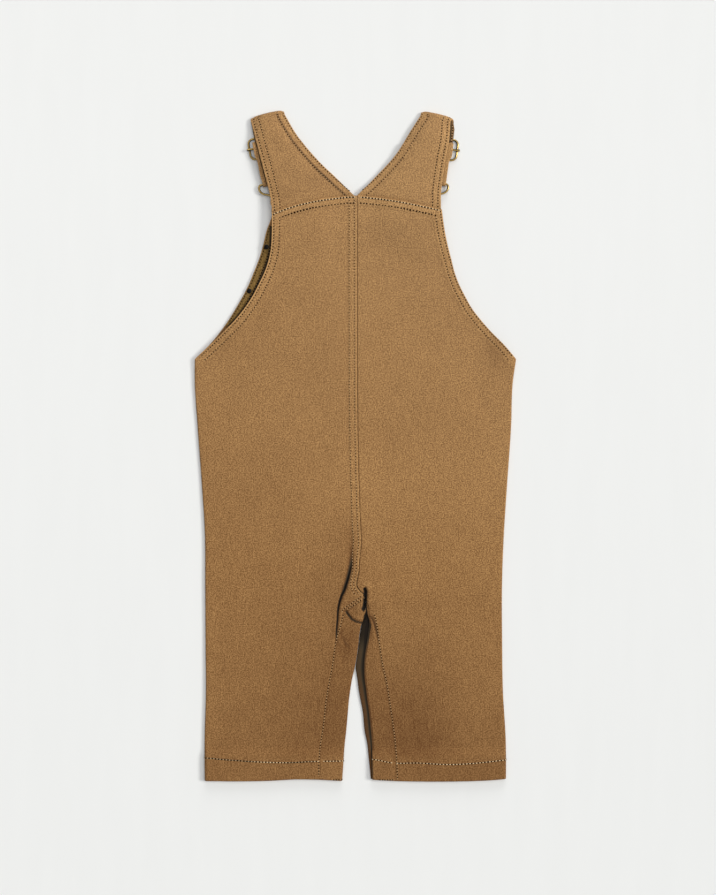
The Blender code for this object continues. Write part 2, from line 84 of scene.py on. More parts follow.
# %% A value that varies over a surface
class Field:
    """A node's output. + - * and / between fields, or a field and a number, add Math nodes."""

    def __init__(self, tree, output):
        self.tree, self.output = tree, output

    def node(self, kind, settings=(), inputs=(), output=0):
        """Any node: its type, its settings, and the values or fields of its sockets."""
        made = self.tree.nodes.new("ShaderNode" + kind)
        for name, value in dict(settings).items():
            setattr(made, name, value)
        for place, value in dict(inputs).items():
            if isinstance(value, Field):
                self.tree.links.new(value.output, made.inputs[place])
            else:
                made.inputs[place].default_value = value
        return Field(self.tree, made.outputs[output])

    def maths(self, operation, first, second=0.0):
        return self.node("Math", {"operation": operation}, {0: first, 1: second})

    def __add__(self, other):
        return self.maths("ADD", self, other)

    def __sub__(self, other):
        return self.maths("SUBTRACT", self, other)

    def __mul__(self, other):
        return self.maths("MULTIPLY", self, other)

    def __truediv__(self, other):
        return self.maths("DIVIDE", self, other)

    def __rsub__(self, other):
        return self.maths("SUBTRACT", other, self)

    def __rtruediv__(self, other):
        return self.maths("DIVIDE", other, self)

    __radd__, __rmul__ = __add__, __mul__

    def arch(self):
        """0 at each whole number and 1 half way between: the sine of pi times the rest."""
        return self.maths("SINE", self.maths("FRACT", self) * math.pi)

    def between(self, low, high):
        """0 at low and 1 at high, held level outside."""
        return self.node("MapRange", {"clamp": True}, {0: self, 1: low, 2: high})

    def stretched(self, factors):
        """A vector, each part times its own factor."""
        return self.node("VectorMath", {"operation": "MULTIPLY"}, {0: self, 1: factors})

    def noise(self, scale, detail=2.0, rough=0.5):
        """Cloudy noise about 0.5, so many clouds to each unit of this vector."""
        return self.node("TexNoise", {}, {0: self, 2: scale, 3: detail, 4: rough})

    def cells(self, output=0):
        """A random number for each whole step of this vector, or a random colour (output 1)."""
        cell = self.node("VectorMath", {"operation": "FLOOR"}, {0: self})
        return cell.node("TexWhiteNoise", {"noise_dimensions": "3D"}, {0: cell}, output)

    def part(self, k):
        """One part of a vector: 0, 1 or 2."""
        return self.node("SeparateXYZ", {}, {0: self}, k)

    def mixed(self, dark, pale):
        """The colour between two, each a triple or a field, by this factor."""
        settings = {"data_type": "RGBA", "clamp_factor": True}
        ends = [c if isinstance(c, Field) else (*c, 1) for c in (dark, pale)]
        return self.node("Mix", settings, {0: self, 6: ends[0], 7: ends[1]}, 2)


def new_finish(name):
    """A material and its Principled shader, and a field to start expressions from."""
    material = bpy.data.materials.new(name)
    material.use_nodes = True
    shader = material.node_tree.nodes["Principled BSDF"]
    return material, shader, Field(material.node_tree, None)


def connect(shader, socket, field):
    """Feed one of the shader's sockets from a field."""
    field.tree.links.new(field.output, shader.inputs[socket])


def relief(start, height, depth, strength=1.0):
    """A Bump node: a height field becomes the shader's normal, depth metres for each 1."""
    values = {"Strength": strength, "Distance": depth, "Height": height}
    return start.node("Bump", {}, values)


# %% [markdown]
# ## Twill
# Twill is woven so that each weft thread passes over two warp threads and steps one to the
# side, which gives diagonal ridges, called wales. The cloth is dyed as a made-up garment and
# then washed. So its colour is uneven: flecks the size of a yarn, long slubs along the warp,
# soft clouds, and pale wear on folded edges. Light and shade are painted into it too: painted
# highlights on edges, a painted sheen and a darker tone down the garment, and painted shade in
# creases, hollows, gaps and the channels of the stitching.
# The weave follows the cloth through a UV map in millimetres, made with each piece.

# %% Twill finish
YARN, FLOAT = 0.45, 1.30           # mm from one warp yarn to the next, and along one float
STAGGER = 0.32                     # how far each yarn's floats start above its neighbour's
GRAIN, FLECK, ROUND = 0.42, 0.80, 0.22   # how far floats, flecks and rounded yarns vary it
SLUB, CLOUD, DRIFT = 0.14, 0.06, 0.07    # and slubs, clouds and broad drifts of the dye
WORN_AND_LIT, PAINTED_SHADE = 0.28, 0.30         # what wear and painted highlights add to the tone, and what painted shade takes off
SHELTERED = (0.052, 0.036, 0.018)  # the colour in a fold's half shadow
SHADOWED = (0.010, 0.006, 0.003)   # and deep in it
PAINTED_SHEEN = (0.820, 0.680, 0.450)       # a painted sheen: pale light over the upper garment
# tone painted by place: darker down the garment and the legs, as painted shade for light that
# falls off there and partly the legs' deeper dye; painted shade below the left armhole and on the
# right leg; a painted highlight at the top of the centre seam
PAINTED_TONES = [  # from and to in mm up the garment, the same across it, and the change of tone
    ((160.0, 100.0), (0.0, -60.0), -0.042),     # below the left armhole
    ((190.0, -40.0), None, -0.033),             # from the yoke down, all across
    ((-30.0, -280.0), None, -0.165),            # and more down the legs
    ((-130.0, -250.0), (-30.0, 60.0), -0.030),  # between the legs and on the right one
    ((195.0, 225.0), (-20.0, 30.0), 0.090),     # at the top of the centre seam
]


def twill(name, deep, pale, level, painted_tones=()):
    """Twill between two colours; level is where its middle lies between them.

    The tone is the level plus each unevenness times its weight, with light and shade painted
    in by place and from the marks on the cloth. Each yarn's own shade is added in proportion
    to the tone, because a yarn varies less where the cloth is dark.
    """
    material, shader, start = new_finish(name)
    weave = start.node("UVMap", {"uv_map": "weave"})
    across, along = weave.part(0), weave.part(1)
    bent = weave.noise(0.22, 2.0)
    warp = across / YARN + bent * 2.0
    pick = along / FLOAT + warp.maths("FLOOR", warp) * STAGGER + bent
    floats = start.node("CombineXYZ", {}, {0: warp, 1: pick, 2: 0.5})
    yarn, tint = floats.cells(), floats.stretched((0.5, 0.7, 1.0)).cells(1)
    oval = warp.arch() * pick.arch()
    fleck = weave.noise(1.0, 0.0).between(0.3, 0.7)
    fine = weave.noise(1.7, 2.0, 0.6).between(0.28, 0.72)
    slub = weave.stretched((1.4, 0.06, 1.0)).noise(1.0, 2.0, 0.6).between(0.3, 0.7)
    cloud = weave.noise(0.07, 3.0, 0.6).between(0.28, 0.72)
    drift = weave.noise(0.012, 1.0, 0.5).between(0.3, 0.7)
    worn_and_lit = start.node("Attribute", {"attribute_name": "wear_and_highlight"}, {}, 2)
    painted_shade = start.node("Attribute", {"attribute_name": "painted_shade"}, {}, 2)
    upward = start.node("NewGeometry", {}, {}, 1).part(2).between(-0.6, -0.2)
    painted_shade = painted_shade.maths("MINIMUM", painted_shade, upward * 10.0 + 0.5)   # faces down: no shade
    tone = level + (slub - 0.5) * SLUB + (cloud - 0.5) * CLOUD + (drift - 0.5) * DRIFT
    # wear and painted highlights raise the tone, and painted shade lowers it
    tone = tone + worn_and_lit * WORN_AND_LIT - painted_shade * PAINTED_SHADE
    for up, sideways, change in painted_tones:
        share = along.between(*up)
        if sideways:
            share = share * across.between(*sideways)
        tone = tone + share * change
    grain = (yarn - 0.5) * GRAIN + (fleck - 0.5) * FLECK + (oval - 0.4) * ROUND
    shade = tone + grain * (tone + 0.16) + (fine - 0.5) * 0.08
    dyed = shade.mixed(deep, pale)
    if painted_tones:
        # a painted sheen: a pale veil over the upper and right parts of the garment
        painted_sheen = along.between(-110.0, 240.0) * (0.035 + across.between(-140.0, 140.0) * 0.03)
        dyed = painted_sheen.mixed(dyed, PAINTED_SHEEN)
    reddish = (tint.part(0) - 0.5) * 0.10 + 0.05
    warmer = tuple(0.6 * a + 0.4 * b for a, b in zip(pale, (deep[0], 0, 0)))
    dyed = reddish.mixed(dyed, warmer)
    # painted shade: deep in creases, gaps and under edges the colour goes to a fold's half shadow,
    # then near black
    dyed = painted_shade.between(0.8, 1.7).mixed(dyed, SHELTERED)
    connect(shader, "Base Color", painted_shade.between(1.6, 2.7).mixed(dyed, SHADOWED))
    connect(shader, "Roughness", 0.95 - fine * 0.08)
    height = oval * 0.6 + fine * 0.4
    connect(shader, "Normal", relief(start, height, 0.00020, 0.5))
    shader.inputs["Sheen Weight"].default_value = 0.05
    shader.inputs["Sheen Roughness"].default_value = 0.5
    shader.inputs["Specular IOR Level"].default_value = 0.2
    return material


TWILL = twill("washed_twill", (0.113, 0.042, 0.010), (0.620, 0.346, 0.129), 0.470, PAINTED_TONES)
# the facing's wrong side, its colours darker partly as painted shade for its place under the
# back's edge
TWILL_INSIDE_IN_SHADE = twill("twill_wrong_side_in_shade", (0.055, 0.028, 0.005), (0.360, 0.212, 0.060), 0.48)
print("twill: warp yarns every", YARN, "mm, up the garment")

# %% [markdown]
# ## Thread, brass and the dark studs
# Topstitching thread is a twisted polyester. A ply is finer than the eye sees at this size, so
# a small cloudy pattern of pale and dark stands for it. Where the thread lies in shade it is
# painted darker, and the needle holes are near black with painted shade. The brace hardware is
# brass with an aged lacquer: a painted highlight and reflection make it pale on top and on its
# outer side, and painted shade and dark reflection make it near black on its inner side. The
# two small studs on the facing are almost black.


# %% Thread and needle holes
def thread(name, dark, pale, gloss=0.3):
    """Twisted thread: pale plies and dark grooves, from a fine cloudy pattern.

    Its attribute is 1 where the thread lies in the cloth's shade, and there its colour is painted
    darker.
    """
    material, shader, start = new_finish(name)
    place = start.node("TexCoord", {}, {}, 3)
    ply = place.stretched((900.0, 900.0, 900.0)).noise(1.0, 2.0, 0.6).between(0.3, 0.7)
    sunk = start.node("Attribute", {"attribute_name": "sunk"}, {}, 2)
    # painted shade: the thread's colour where it lies in shade
    shaded = tuple(0.35 * c for c in dark)
    connect(shader, "Base Color", sunk.mixed(ply.mixed(dark, pale), shaded))
    connect(shader, "Roughness", 0.78 - ply * 0.15)
    shader.inputs["Specular IOR Level"].default_value = gloss
    return material


THREAD = thread("tonal_thread", (0.400, 0.230, 0.095), (0.720, 0.470, 0.230))
PALE_THREAD = thread("pale_thread", (0.600, 0.420, 0.220), (0.980, 0.790, 0.500))
# needle holes: near-black discs of painted shade for the depth of each hole
HOLE_SHADE = thread("needle_hole_shade", (0.012, 0.004, 0.001), (0.036, 0.013, 0.003), 0.0)


# %% Brass and stud
def metal(name, dark, pale, rough_low, rough_high):
    """Metal between a dark and a pale colour, rougher where it is dark.

    Its attribute is 1 where light is painted on, pale as a highlight and reflection, and 0 where
    shade and dark reflection are painted, near black.
    """
    material, shader, start = new_finish(name)
    place = start.node("TexCoord", {}, {}, 3).stretched((1000.0, 1000.0, 1000.0))
    rub_and_light = start.node("Attribute", {"attribute_name": "rub_and_light"}, {}, 2)
    rubbed_and_lit = place.noise(0.16, 3.0, 0.6) * 0.24 + place.noise(1.1, 2.0, 0.5) * 0.16 + rub_and_light
    rubbed_and_lit = rubbed_and_lit.between(0.69, 1.14)
    connect(shader, "Base Color", rubbed_and_lit.mixed(dark, pale))
    connect(shader, "Roughness", rough_high - rubbed_and_lit * (rough_high - rough_low))
    connect(shader, "Normal", relief(start, place.noise(1.6, 2.0), 0.00004, 0.4))
    shader.inputs["Metallic"].default_value = 1.0
    return material


# the dark colour is painted shade and dark reflection, the pale one a painted highlight
BRASS = metal("aged_brass", (0.010, 0.005, 0.001), (0.640, 0.430, 0.150), 0.20, 0.45)
STUD = metal("dark_stud", (0.006, 0.0055, 0.005), (0.022, 0.020, 0.018), 0.40, 0.60)
print("finishes:", sorted(m.name for m in bpy.data.materials if not m.users))

# %% [markdown]
# ## The cut
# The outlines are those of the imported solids: for each height, where the side folds, armholes,
# seams and inner legs run, to the left and to the right. A cubic curve through each short
# table gives every height between. Sizes are in millimetres.

# %% Outlines
CLOTH = 1.0            # one wall of twill with its turnings
FOOT, TIP, CROTCH = -290.4, 76.0, -143.6   # heights of the hems, armhole feet and crotch
WIRE = 1.85            # diameter of the brace wire
STRAP_WIDTH = 30.0
GAP = 0.3              # clearance between pieces that touch
SIDES = ((-1, "left"), (1, "right"))
HARDWARE_RISE = 4.3    # what the brace buttons lift the bib
HAIR = 0.06            # clearance between cloth edges that are sewn together
ABOVE_TABLE = 0.02     # the least height of a face that turns up from the table

SIDE_FOLDS = [
    (76, -139.6, 139.6), (58, -139.7, 137.0), (16, -137.1, 135.2), (-36, -133.3, 131.6),
    (-78, -130.8, 128.9), (-120, -130.6, 127.4), (-170, -130.3, 127.5),
    (-213, -130.0, 128.2), (-255, -131.1, 130.6), (-290.4, -131.0, 130.8),
]
BACK_ARMHOLES = [
    (208, -72.4, 74.0), (182, -72.6, 78.0), (172, -73.3, 80.4), (162, -75.3, 83.2),
    (151, -79.0, 86.1), (141, -83.8, 89.8), (131, -89.0, 94.8), (120, -96.2, 101.0),
    (110, -104.2, 108.6), (99, -115.0, 118.3), (89, -125.4, 128.3), (76, -139.6, 139.6),
]
FRONT_ARMHOLES = [
    (216.5, -70.8, 70.5), (198, -73.2, 72.0), (188, -77.0, 74.0), (176, -80.0, 76.5),
    (165, -83.2, 79.0), (153, -87.8, 82.0), (138, -94.2, 88.0), (124, -101.8, 95.5),
    (111, -109.7, 104.5), (99, -118.2, 115.0), (88, -127.4, 126.5), (76, -139.6, 139.6),
]
INNER_LEG_FOLDS = [    # where each leg's cloth turns over, between the legs
    (-143.6, 8.6, 9.3), (-148, 9.1, 9.7), (-151, 9.3, 10.3), (-152.6, 8.4, 11.0),
    (-153.6, 6.9, 11.8), (-155.5, 5.7, 11.9), (-163, 3.7, 10.8), (-171.6, 2.6, 9.6),
    (-182, 1.2, 8.0), (-192, -0.6, 7.4), (-202.6, -3.0, 7.8), (-211, -4.4, 9.0),
    (-220, -5.6, 10.0), (-229, -6.4, 11.3), (-243, -7.6, 12.8), (-262, -9.6, 14.4),
    (-276, -10.5, 14.8), (-290.4, -11.5, 14.9),
]
LOWER_LAYER = [        # how far the right leg's lower layer shows beyond that, to the left
    (-143.6, 8.9), (-150, 8.9), (-152.5, 7.9), (-154, 6.3), (-156, 5.4), (-163, 3.95),
    (-171.6, 2.85), (-182, 1.5), (-189, 0.4), (-193, 0.1), (-196, 0.6), (-203, 1.7),
    (-211, 2.7), (-220, 4.3), (-229, 6.1), (-237, 7.0), (-246, 7.8), (-259, 10.2),
    (-272, 11.5), (-283, 12.6), (-290.4, 13.3),
]
INSEAMS = [
    (-143.6, -8.6, 14.6), (-154, -11.2, 17.0), (-173, -16.2, 19.8), (-190, -18.6, 22.4),
    (-207, -21.8, 26.2), (-220, -24.0, 28.2), (-243, -26.6, 31.6), (-262, -29.4, 33.8),
    (-276, -30.4, 34.6), (-290.4, -30.5, 35.2),
]
CENTRE_BACK = [
    (220, 1.3), (127, 1.3), (40, 1.6), (-29, 2.8), (-72, 4.4), (-81, 5.0), (-91, 4.3),
    (-99, 3.3), (-109, 2.6), (-114, 1.6), (-118.4, 0.8), (-122, 1.2), (-124.2, 2.6),
    (-126.4, 4.6), (-128.8, 7.4), (-131, 8.6), (-135, 8.4), (-143.6, 8.4),
]
CENTRE_FRONT = [(216.5, 0.0), (60, 0.0), (-60, 3.0), (-143.6, 9.5)]
YOKE_SEAM = [
    (-72.4, 202.2), (-57, 207.9), (-39.5, 212.6), (-22, 215.7), (0, 217.8), (17, 216.3),
    (38.6, 213.0), (56, 209.5), (74, 205.6),
]


# %% Curves through the tables
def through(table, at, value=1):
    """Cubic Hermite curve through a table's rows, its slopes those of their neighbours."""
    rows = np.array(sorted(table), float)
    places, values = rows[:, 0], rows[:, value]
    slopes = np.gradient(values, places)
    at = np.clip(np.asarray(at, float), places[0], places[-1])
    cell = np.clip(np.searchsorted(places, at) - 1, 0, len(places) - 2)
    width = places[cell + 1] - places[cell]
    t = (at - places[cell]) / width
    rise = (values[cell + 1] - values[cell]) * (3 * t**2 - 2 * t**3)
    lean = width * (slopes[cell] * t * (1 - t) ** 2 - slopes[cell + 1] * t**2 * (1 - t))
    return values[cell] + rise + lean


def side(table, out, y):
    """x of an outline at the height y; out is -1 on the left and 1 on the right."""
    return through(table, y, 1 if out < 0 else 2)


def ease(t):
    """0 to 1 with level ends: 3tt - 2ttt."""
    t = np.clip(t, 0.0, 1.0)
    return t * t * (3 - 2 * t)


def bell(apart, width):
    """1 in the middle and falling to both sides: e to minus the square of apart / width."""
    return np.exp(-((apart / width) ** 2))


def line_of(table, out=0, step=2.5):
    """An outline as points from its top down, about a step apart."""
    rows = np.array(sorted(table), float)
    y = np.linspace(rows[-1, 0], rows[0, 0], int(np.ptp(rows[:, 0]) / step))
    return np.column_stack([side(table, out, y) if out else through(table, y), y])


def from_line(x, y, line):
    """Distance from each point to a line of points, signed, and the length along the line.

    Each point is dropped at right angles on every segment, and the nearest foot is kept. The
    sign is + on the right of a line that runs down, the side of larger x.
    """
    start, step = line[:-1], np.diff(line, axis=0)
    size = np.hypot(step[:, 0], step[:, 1])
    dx, dy = x[..., None] - start[:, 0], y[..., None] - start[:, 1]
    t = np.clip((dx * step[:, 0] + dy * step[:, 1]) / size**2, 0, 1)
    far = np.hypot(dx - t * step[:, 0], dy - t * step[:, 1])
    best = far.argmin(-1)[..., None]
    turn = step[:, 0] * dy - step[:, 1] * dx
    before = np.concatenate([[0], np.cumsum(size)])[:-1]
    pick = lambda values: np.take_along_axis(values, best, -1)[..., 0]
    return pick(far) * np.sign(pick(turn)), pick(before + t * size)


YOKE_X = np.linspace(-74.0, 75.5, 110)
YOKE_LINE = np.column_stack([YOKE_X, through(YOKE_SEAM, YOKE_X)])
print("armholes:", [round(float(np.ptp(line_of(BACK_ARMHOLES, s)[:, 1]))) for s in (-1, 1)])

# %% [markdown]
# ## How high the layers lie
# The front lies on the table, lifted a little where the hooks and buttons are under it. The
# back lies on the front with some air between, more at the chest, the hems and the crotch,
# where the seams are bulky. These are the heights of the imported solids, so the cloth made here
# stays on them.

# %% Heights
BODY_AIR, CHEST_AIR, HEM_AIR, CROTCH_RISE = 0.9, 2.4, 2.9, 2.2
STRAPS = [  # edges from the yoke seam up to the shoulder fold, the hook's bar, and its lean
    {
        "side": "left", "out": -1, "bar": (-65.7, 230.3), "lean": 10.8,
        "outer": [(-72.6, 203.6), (-73.2, 213), (-77.4, 231), (-84.2, 257), (-90.6, 281.2)],
        "inner": [(-0.6, 219.4), (-14.3, 231.3), (-32.6, 248.5), (-49.8, 268.9),
                  (-61.4, 288.2)],
        "under_corner": (-90.6, 281.2), "slider_up": 31.8, "slider_shift": 1.8,
        "hook_shift": 0.9,
    },
    {
        "side": "right", "out": 1, "bar": (63.7, 230.2), "lean": 7.7,
        "outer": [(74.0, 207.0), (74.4, 222.6), (78.0, 248), (81.2, 265), (82.6, 281.8)],
        "inner": [(0.6, 219.4), (14.3, 231.3), (34.0, 252.0), (47.3, 273.0), (56.6, 287.6)],
        "under_corner": (85.4, 281.0), "slider_up": 30.0, "slider_shift": 1.9,
        "hook_shift": -0.7,
    },
]
BUTTON_DOWN = 24.0     # from a hook's bar down to its button


def strap_axes(strap):
    """The strap's own directions in plan: up along it, and out across it."""
    lean, out = math.radians(strap["lean"]), strap["out"]
    up = np.array([out * math.sin(lean), math.cos(lean)])
    return up, np.array([out * math.cos(lean), -math.sin(lean)])


def strap_point(strap, up, across):
    """The plan point so far up from the hook's bar and across from the strap's middle."""
    along, over = strap_axes(strap)
    return np.array(strap["bar"]) + np.multiply.outer(up, along) + np.multiply.outer(across, over)


def under_height(x, y):
    """Underside of the lower layer: it rises over each run of hardware, and eases to 0."""
    hump = np.zeros(np.broadcast(x, y).shape)
    for strap in STRAPS:
        top = strap_point(strap, strap["slider_up"], 0.0)
        run = strap_point(strap, -BUTTON_DOWN, 0.0) - top
        t = np.clip(((x - top[0]) * run[0] + (y - top[1]) * run[1]) / run.dot(run), 0, 1)
        far = np.hypot(x - top[0] - t * run[0], y - top[1] - t * run[1])
        far = np.where(t > 0, far, far * 1.5)
        hump = np.maximum(hump, 1 - ease((far - 12) / 44))
    return HARDWARE_RISE * hump


def top_height(x, y):
    """Upper surface of the upper layer: two walls, the air between them, and the rise."""
    air = BODY_AIR + (CHEST_AIR - BODY_AIR) * ease((y - 40) / 60)
    air = air + (HEM_AIR - BODY_AIR) * ease((-262 - y) / 8)
    air = air + CROTCH_RISE * (1 - ease((np.hypot(x - 2, y + 122) - 6) / 40))
    return 2 * CLOTH + air + under_height(x, y)


print("top of the bib:", round(float(top_height(np.array(-60.0), np.array(215.0))), 1), "mm")

# %% [markdown]
# ## Softness, seams and creases
# Cloth that has been smoothed by hand keeps a gentle unevenness. Seams change its height more:
# a turned or felled edge is a raised band, its fold is rounded, each row of topstitching lies
# in a channel, and the cloth puckers between the rows because the thread is a little tight.
# All of these are functions of the distance from the edge, so one set of them serves the
# armholes, the yoke, the straps and the centre seam.

# %% Softness and seam profiles
ROW_1, ROW_2 = 1.7, 7.0     # rows of topstitching, in from a plain edge
ARM_ROWS = {-1: (1.7, 6.7), 1: (1.1, 5.6)}    # and in from each armhole of the back
YOKE_ROWS = (1.4, 6.4)              # from the yoke seam
STRAP_ROWS = {"out": (2.6, 7.3), "in": (1.2, 6.6)}   # from a strap's outer and inner edges
UNDER_ROW = 1.6             # and from both edges on the runs underneath
SEAM_ROW_1, SEAM_ROW_2 = 2.3, 6.7   # and from the edge of the felled centre seam
SEAM_NARROWS = 1.9          # what the second row loses of that on its way to the crotch
BAND = 8.2                  # turned cloth under them


def softness(x, y, spacing_x, spacing_y, seed):
    """Gentle unevenness: random heights on a coarse lattice, eased from one to the next."""
    heights = np.random.default_rng(seed).uniform(-1, 1, (97, 97))
    u, v = x / spacing_x + 40.3, y / spacing_y + 40.7
    i, j = np.floor(u).astype(int) % 96, np.floor(v).astype(int) % 96
    s, t = ease(u - np.floor(u)), ease(v - np.floor(v))
    near = heights[i, j] * (1 - t) + heights[i, j + 1] * t
    far = heights[i + 1, j] * (1 - t) + heights[i + 1, j + 1] * t
    return near * (1 - s) + far * s


def rounded(apart, radius=0.5):
    """A folded edge: a quarter circle's fall within a radius of it."""
    t = 1 - np.clip(apart / radius, 0, 1)
    return -radius * (1 - np.sqrt(1 - t**2 * 0.98))


def raised(apart, width=BAND, lift=0.38):
    """The turned cloth in a band beside an edge: level, then down over a millimetre."""
    return lift * (1 - ease((apart - width + 0.6) / 1.4))


def channel(apart, at, depth=0.26):
    """The channel that a row of stitches pulls, shaped as a bell about the row."""
    return -depth * bell(apart - at, 0.62)


def puckered(apart, along, seed, strength=0.13):
    """Slanting ripples along a seam, dying away on both sides of its rows."""
    phase = along / 6.4 + 1.1 * np.sin(along / 29.0 + seed) + apart * 0.07
    ripple = np.sin(2 * math.pi * phase) * (0.6 + 0.4 * np.sin(along / 43.0 + 2 * seed))
    return strength * ripple * bell(apart - 4.6, 4.6)


# %% [markdown]
# The deepest creases are at the crotch, where four seams meet and the seat has fullness to
# lose: a fold that rolls over a black crease on the left, a slit where the right leg's cloth
# closes over the seam, and a small tongue of cloth between them. A height alone cannot roll
# over, so each crease also moves the cloth beside it sideways, over the trough.
# Painted shade darkens the troughs and the broad hollows, and a painted highlight lightens the
# swellings.

# %% Creases
CREASES = [  # line from the top, depth, half width, lips, lean, painted shade in the trough, fades at both ends
    ([(-2.8, -93), (-2.8, -98.5), (-3.7, -103.7), (-4.8, -108.9), (-6.1, -114.1), (-7.7, -119.4),
      (-9.3, -124.6), (-12.1, -129.8), (-13.7, -135), (-14.8, -140.2), (-15.3, -145.4),
      (-15.5, -150.6), (-16.0, -155.8), (-16.4, -161), (-16.7, -166.2), (-16.9, -174)],
     2.5, 0.85, 0.6, 0.5, -0.5, 4.0, 38, 20),
    ([(-2.6, -86), (-3.3, -98), (-4.9, -106), (-7.3, -116.5), (-10.6, -126), (-13.5, -134.5),
      (-14.9, -141)], 0.9, 1.75, 0.2, 0.2, 0.0, 0.95, 22, 12),
    ([(-3.2, -56), (-3.6, -88), (-4.9, -106), (-8.6, -120), (-13.5, -132)],
     0.6, 3.4, 0.1, 0.1, 0.0, 0.75, 42, 12),
    ([(6.6, -122.6), (8.0, -123.6), (8.7, -125.6), (8.6, -129.8), (8.3, -135), (7.4, -140.2),
      (7.8, -143.4)], 3.0, 1.35, 0.1, 0.5, 0.0, 5.0, 2, 4),
    ([(4.6, -140.2), (6.4, -141.0), (8.0, -143.6)], 1.2, 0.8, 0.1, 0.1, 0.0, 3.2, 2, 2),
    ([(-10.4, -139.6), (-9.2, -141.4), (-7.0, -145.2), (-3.4, -149.9), (0.6, -152.2),
      (6.0, -153.2), (8.2, -153.0)], 1.7, 0.85, 0.3, 0.3, 0.0, 2.1, 7, 2),
    ([(11.6, -145), (15.2, -151.1), (16.9, -155.9), (18.6, -162.6), (19.0, -171)],
     0.55, 1.1, 0.1, 0.2, 0.0, 0.85, 4, 8),
    ([(11.2, -152), (12.8, -157), (12.9, -163), (11.4, -171)],
     0.35, 1.6, 0.1, 0.1, 0.0, 0.3, 3, 6),
    ([(-9.0, -157), (-13.5, -162), (-8.0, -172), (-3.0, -178)],
     0.35, 1.3, 0.2, 0.1, 0.0, 0.35, 6, 6),
    ([(-14.0, -170), (-10.0, -182), (-11.0, -196)], 0.4, 3.0, 0.2, 0.1, 0.0, 0.1, 8, 8),
    ([(22.0, -100), (30.0, -124), (33.0, -150)], 0.45, 6.0, 0.1, 0.3, 0.0, 0.0, 16, 12),
    ([(-26.0, -128), (-33.0, -160), (-35.0, -196)], 0.40, 7.0, 0.2, 0.1, 0.0, 0.0, 20, 12),
    ([(100, 60), (112, 40), (122, 10)], 0.35, 7.0, 0.2, 0.1, 0.0, 0.0, 16, 12),
    ([(-96, 66), (-112, 44), (-124, 12)], 0.35, 8.0, 0.1, 0.2, 0.0, 0.0, 16, 12),
]
HOLLOWS = [  # middle, half widths across and up, depth, painted shade (below 0: a swelling with a painted highlight)
    ((-1, -168), (30, 62), 0.15, 0.24), ((-6, -166), (11, 24), 0.10, 0.20),
    ((-2, -139), (9, 9), -0.25, 0.22), ((13.5, -165), (5, 24), 0.10, 0.28),
    ((11.0, -119.6), (3.4, 3.0), -0.25, -0.55), ((-24, -246), (28, 46), 0.20, 0.34),
    ((46, -250), (42, 40), 0.20, 0.42), ((-6, -212), (12, 30), 0.10, 0.08),
    ((58, -200), (34, 32), 0.08, 0.22), ((-5, -168), (9, 12), 0.05, 0.25),
    ((-125, -200), (9, 80), -0.05, -0.22), ((123, 85), (11, 16), 0.05, 0.52),
    ((-116, 88), (10, 12), 0.05, 0.25), ((-32, 232), (16, 12), 0.05, 0.36),
    ((-61, 218), (14, 8), 0.05, 0.30), ((-82, 275), (7, 12), 0.05, -0.26),
    ((-9, -80), (8, 16), 0.05, 0.30),
    ((76, 283), (9, 10), 0.05, 0.42), ((60, 240), (22, 18), 0.05, 0.10),
    ((28, 201), (30, 8), 0.05, -0.22),
]


def creased(x, y):
    """What the creases add: height, a sideways move, and the shade painted into their depths.

    A crease is a bell-shaped trough along its line, with a low swelling beside it, and it
    fades over its ends. A hollow is a bell in both directions, with painted shade in it, and a
    painted highlight where it swells.
    """
    rise, shift, dark = np.zeros(x.shape), np.zeros(x.shape), np.zeros(x.shape)
    for points, depth, half, lip_left, lip_right, lean, depth_shade, first, last in CREASES:
        line = np.array(points, float)
        reach = 6 * half + 4
        near = (x > line[:, 0].min() - reach) & (x < line[:, 0].max() + reach)
        near &= (y > line[:, 1].min() - reach) & (y < line[:, 1].max() + reach)
        if not near.any():
            continue
        apart, along = from_line(x[near], y[near], line)
        total = np.hypot(*np.diff(line, axis=0).T).sum()
        fade = ease(along / first) * ease((total - along) / last)
        lip = np.where(apart < 0, lip_left, lip_right)
        beside = bell(np.abs(apart) - 2.6 * half, 1.5 * half)
        rise[near] += fade * (lip * beside - depth * bell(apart, half))
        over = np.where(apart * lean < 0, bell(apart, 2.2 * half), 0)
        over *= 1 - bell(apart, 0.6 * half)
        shift[near] += fade * lean * over
        dark[near] += fade * depth_shade * bell(apart, 0.85 * half)
    above_hem = ease((y + 275) / 9)
    for (middle_x, middle_y), (half_x, half_y), depth, depth_shade in HOLLOWS:
        hollow = bell(x - middle_x, half_x) * bell(y - middle_y, half_y) * above_hem
        rise -= depth * hollow
        dark += depth_shade * hollow
    return rise, shift, dark


print("creases:", len(CREASES))

# %% [markdown]
# ## From grids to pieces
# A piece of cloth is a grid of points on its outer face, turned into quads, given its UV map
# and then a wall by the Solidify modifier. The grid's columns lie close together beside the
# edges, where the profiles change over tenths of a millimetre, and further apart between.

# %% Grids to pieces
NEAR = np.array([0, 0.12, 0.35, 0.8, 1.25, 1.7, 2.2, 3.0, 4.0, 5.0, 6.0, 6.5, 7.0, 7.5, 8.3, 9.4])


def spread(width, middle, start=NEAR, end=NEAR):
    """Fractions across each width: close beside both edges, even in the middle."""
    width = np.atleast_1d(np.asarray(width, float))[:, None]
    t = np.linspace(0, 1, middle + 2)[1:-1]
    fit = np.minimum(1, 0.8 * width / (start[-1] + end[-1])) / width
    first, last = start * fit, 1 - end[::-1] * fit
    return np.hstack([first, first[:, -1:] * (1 - t) + last[:, :1] * t, last])


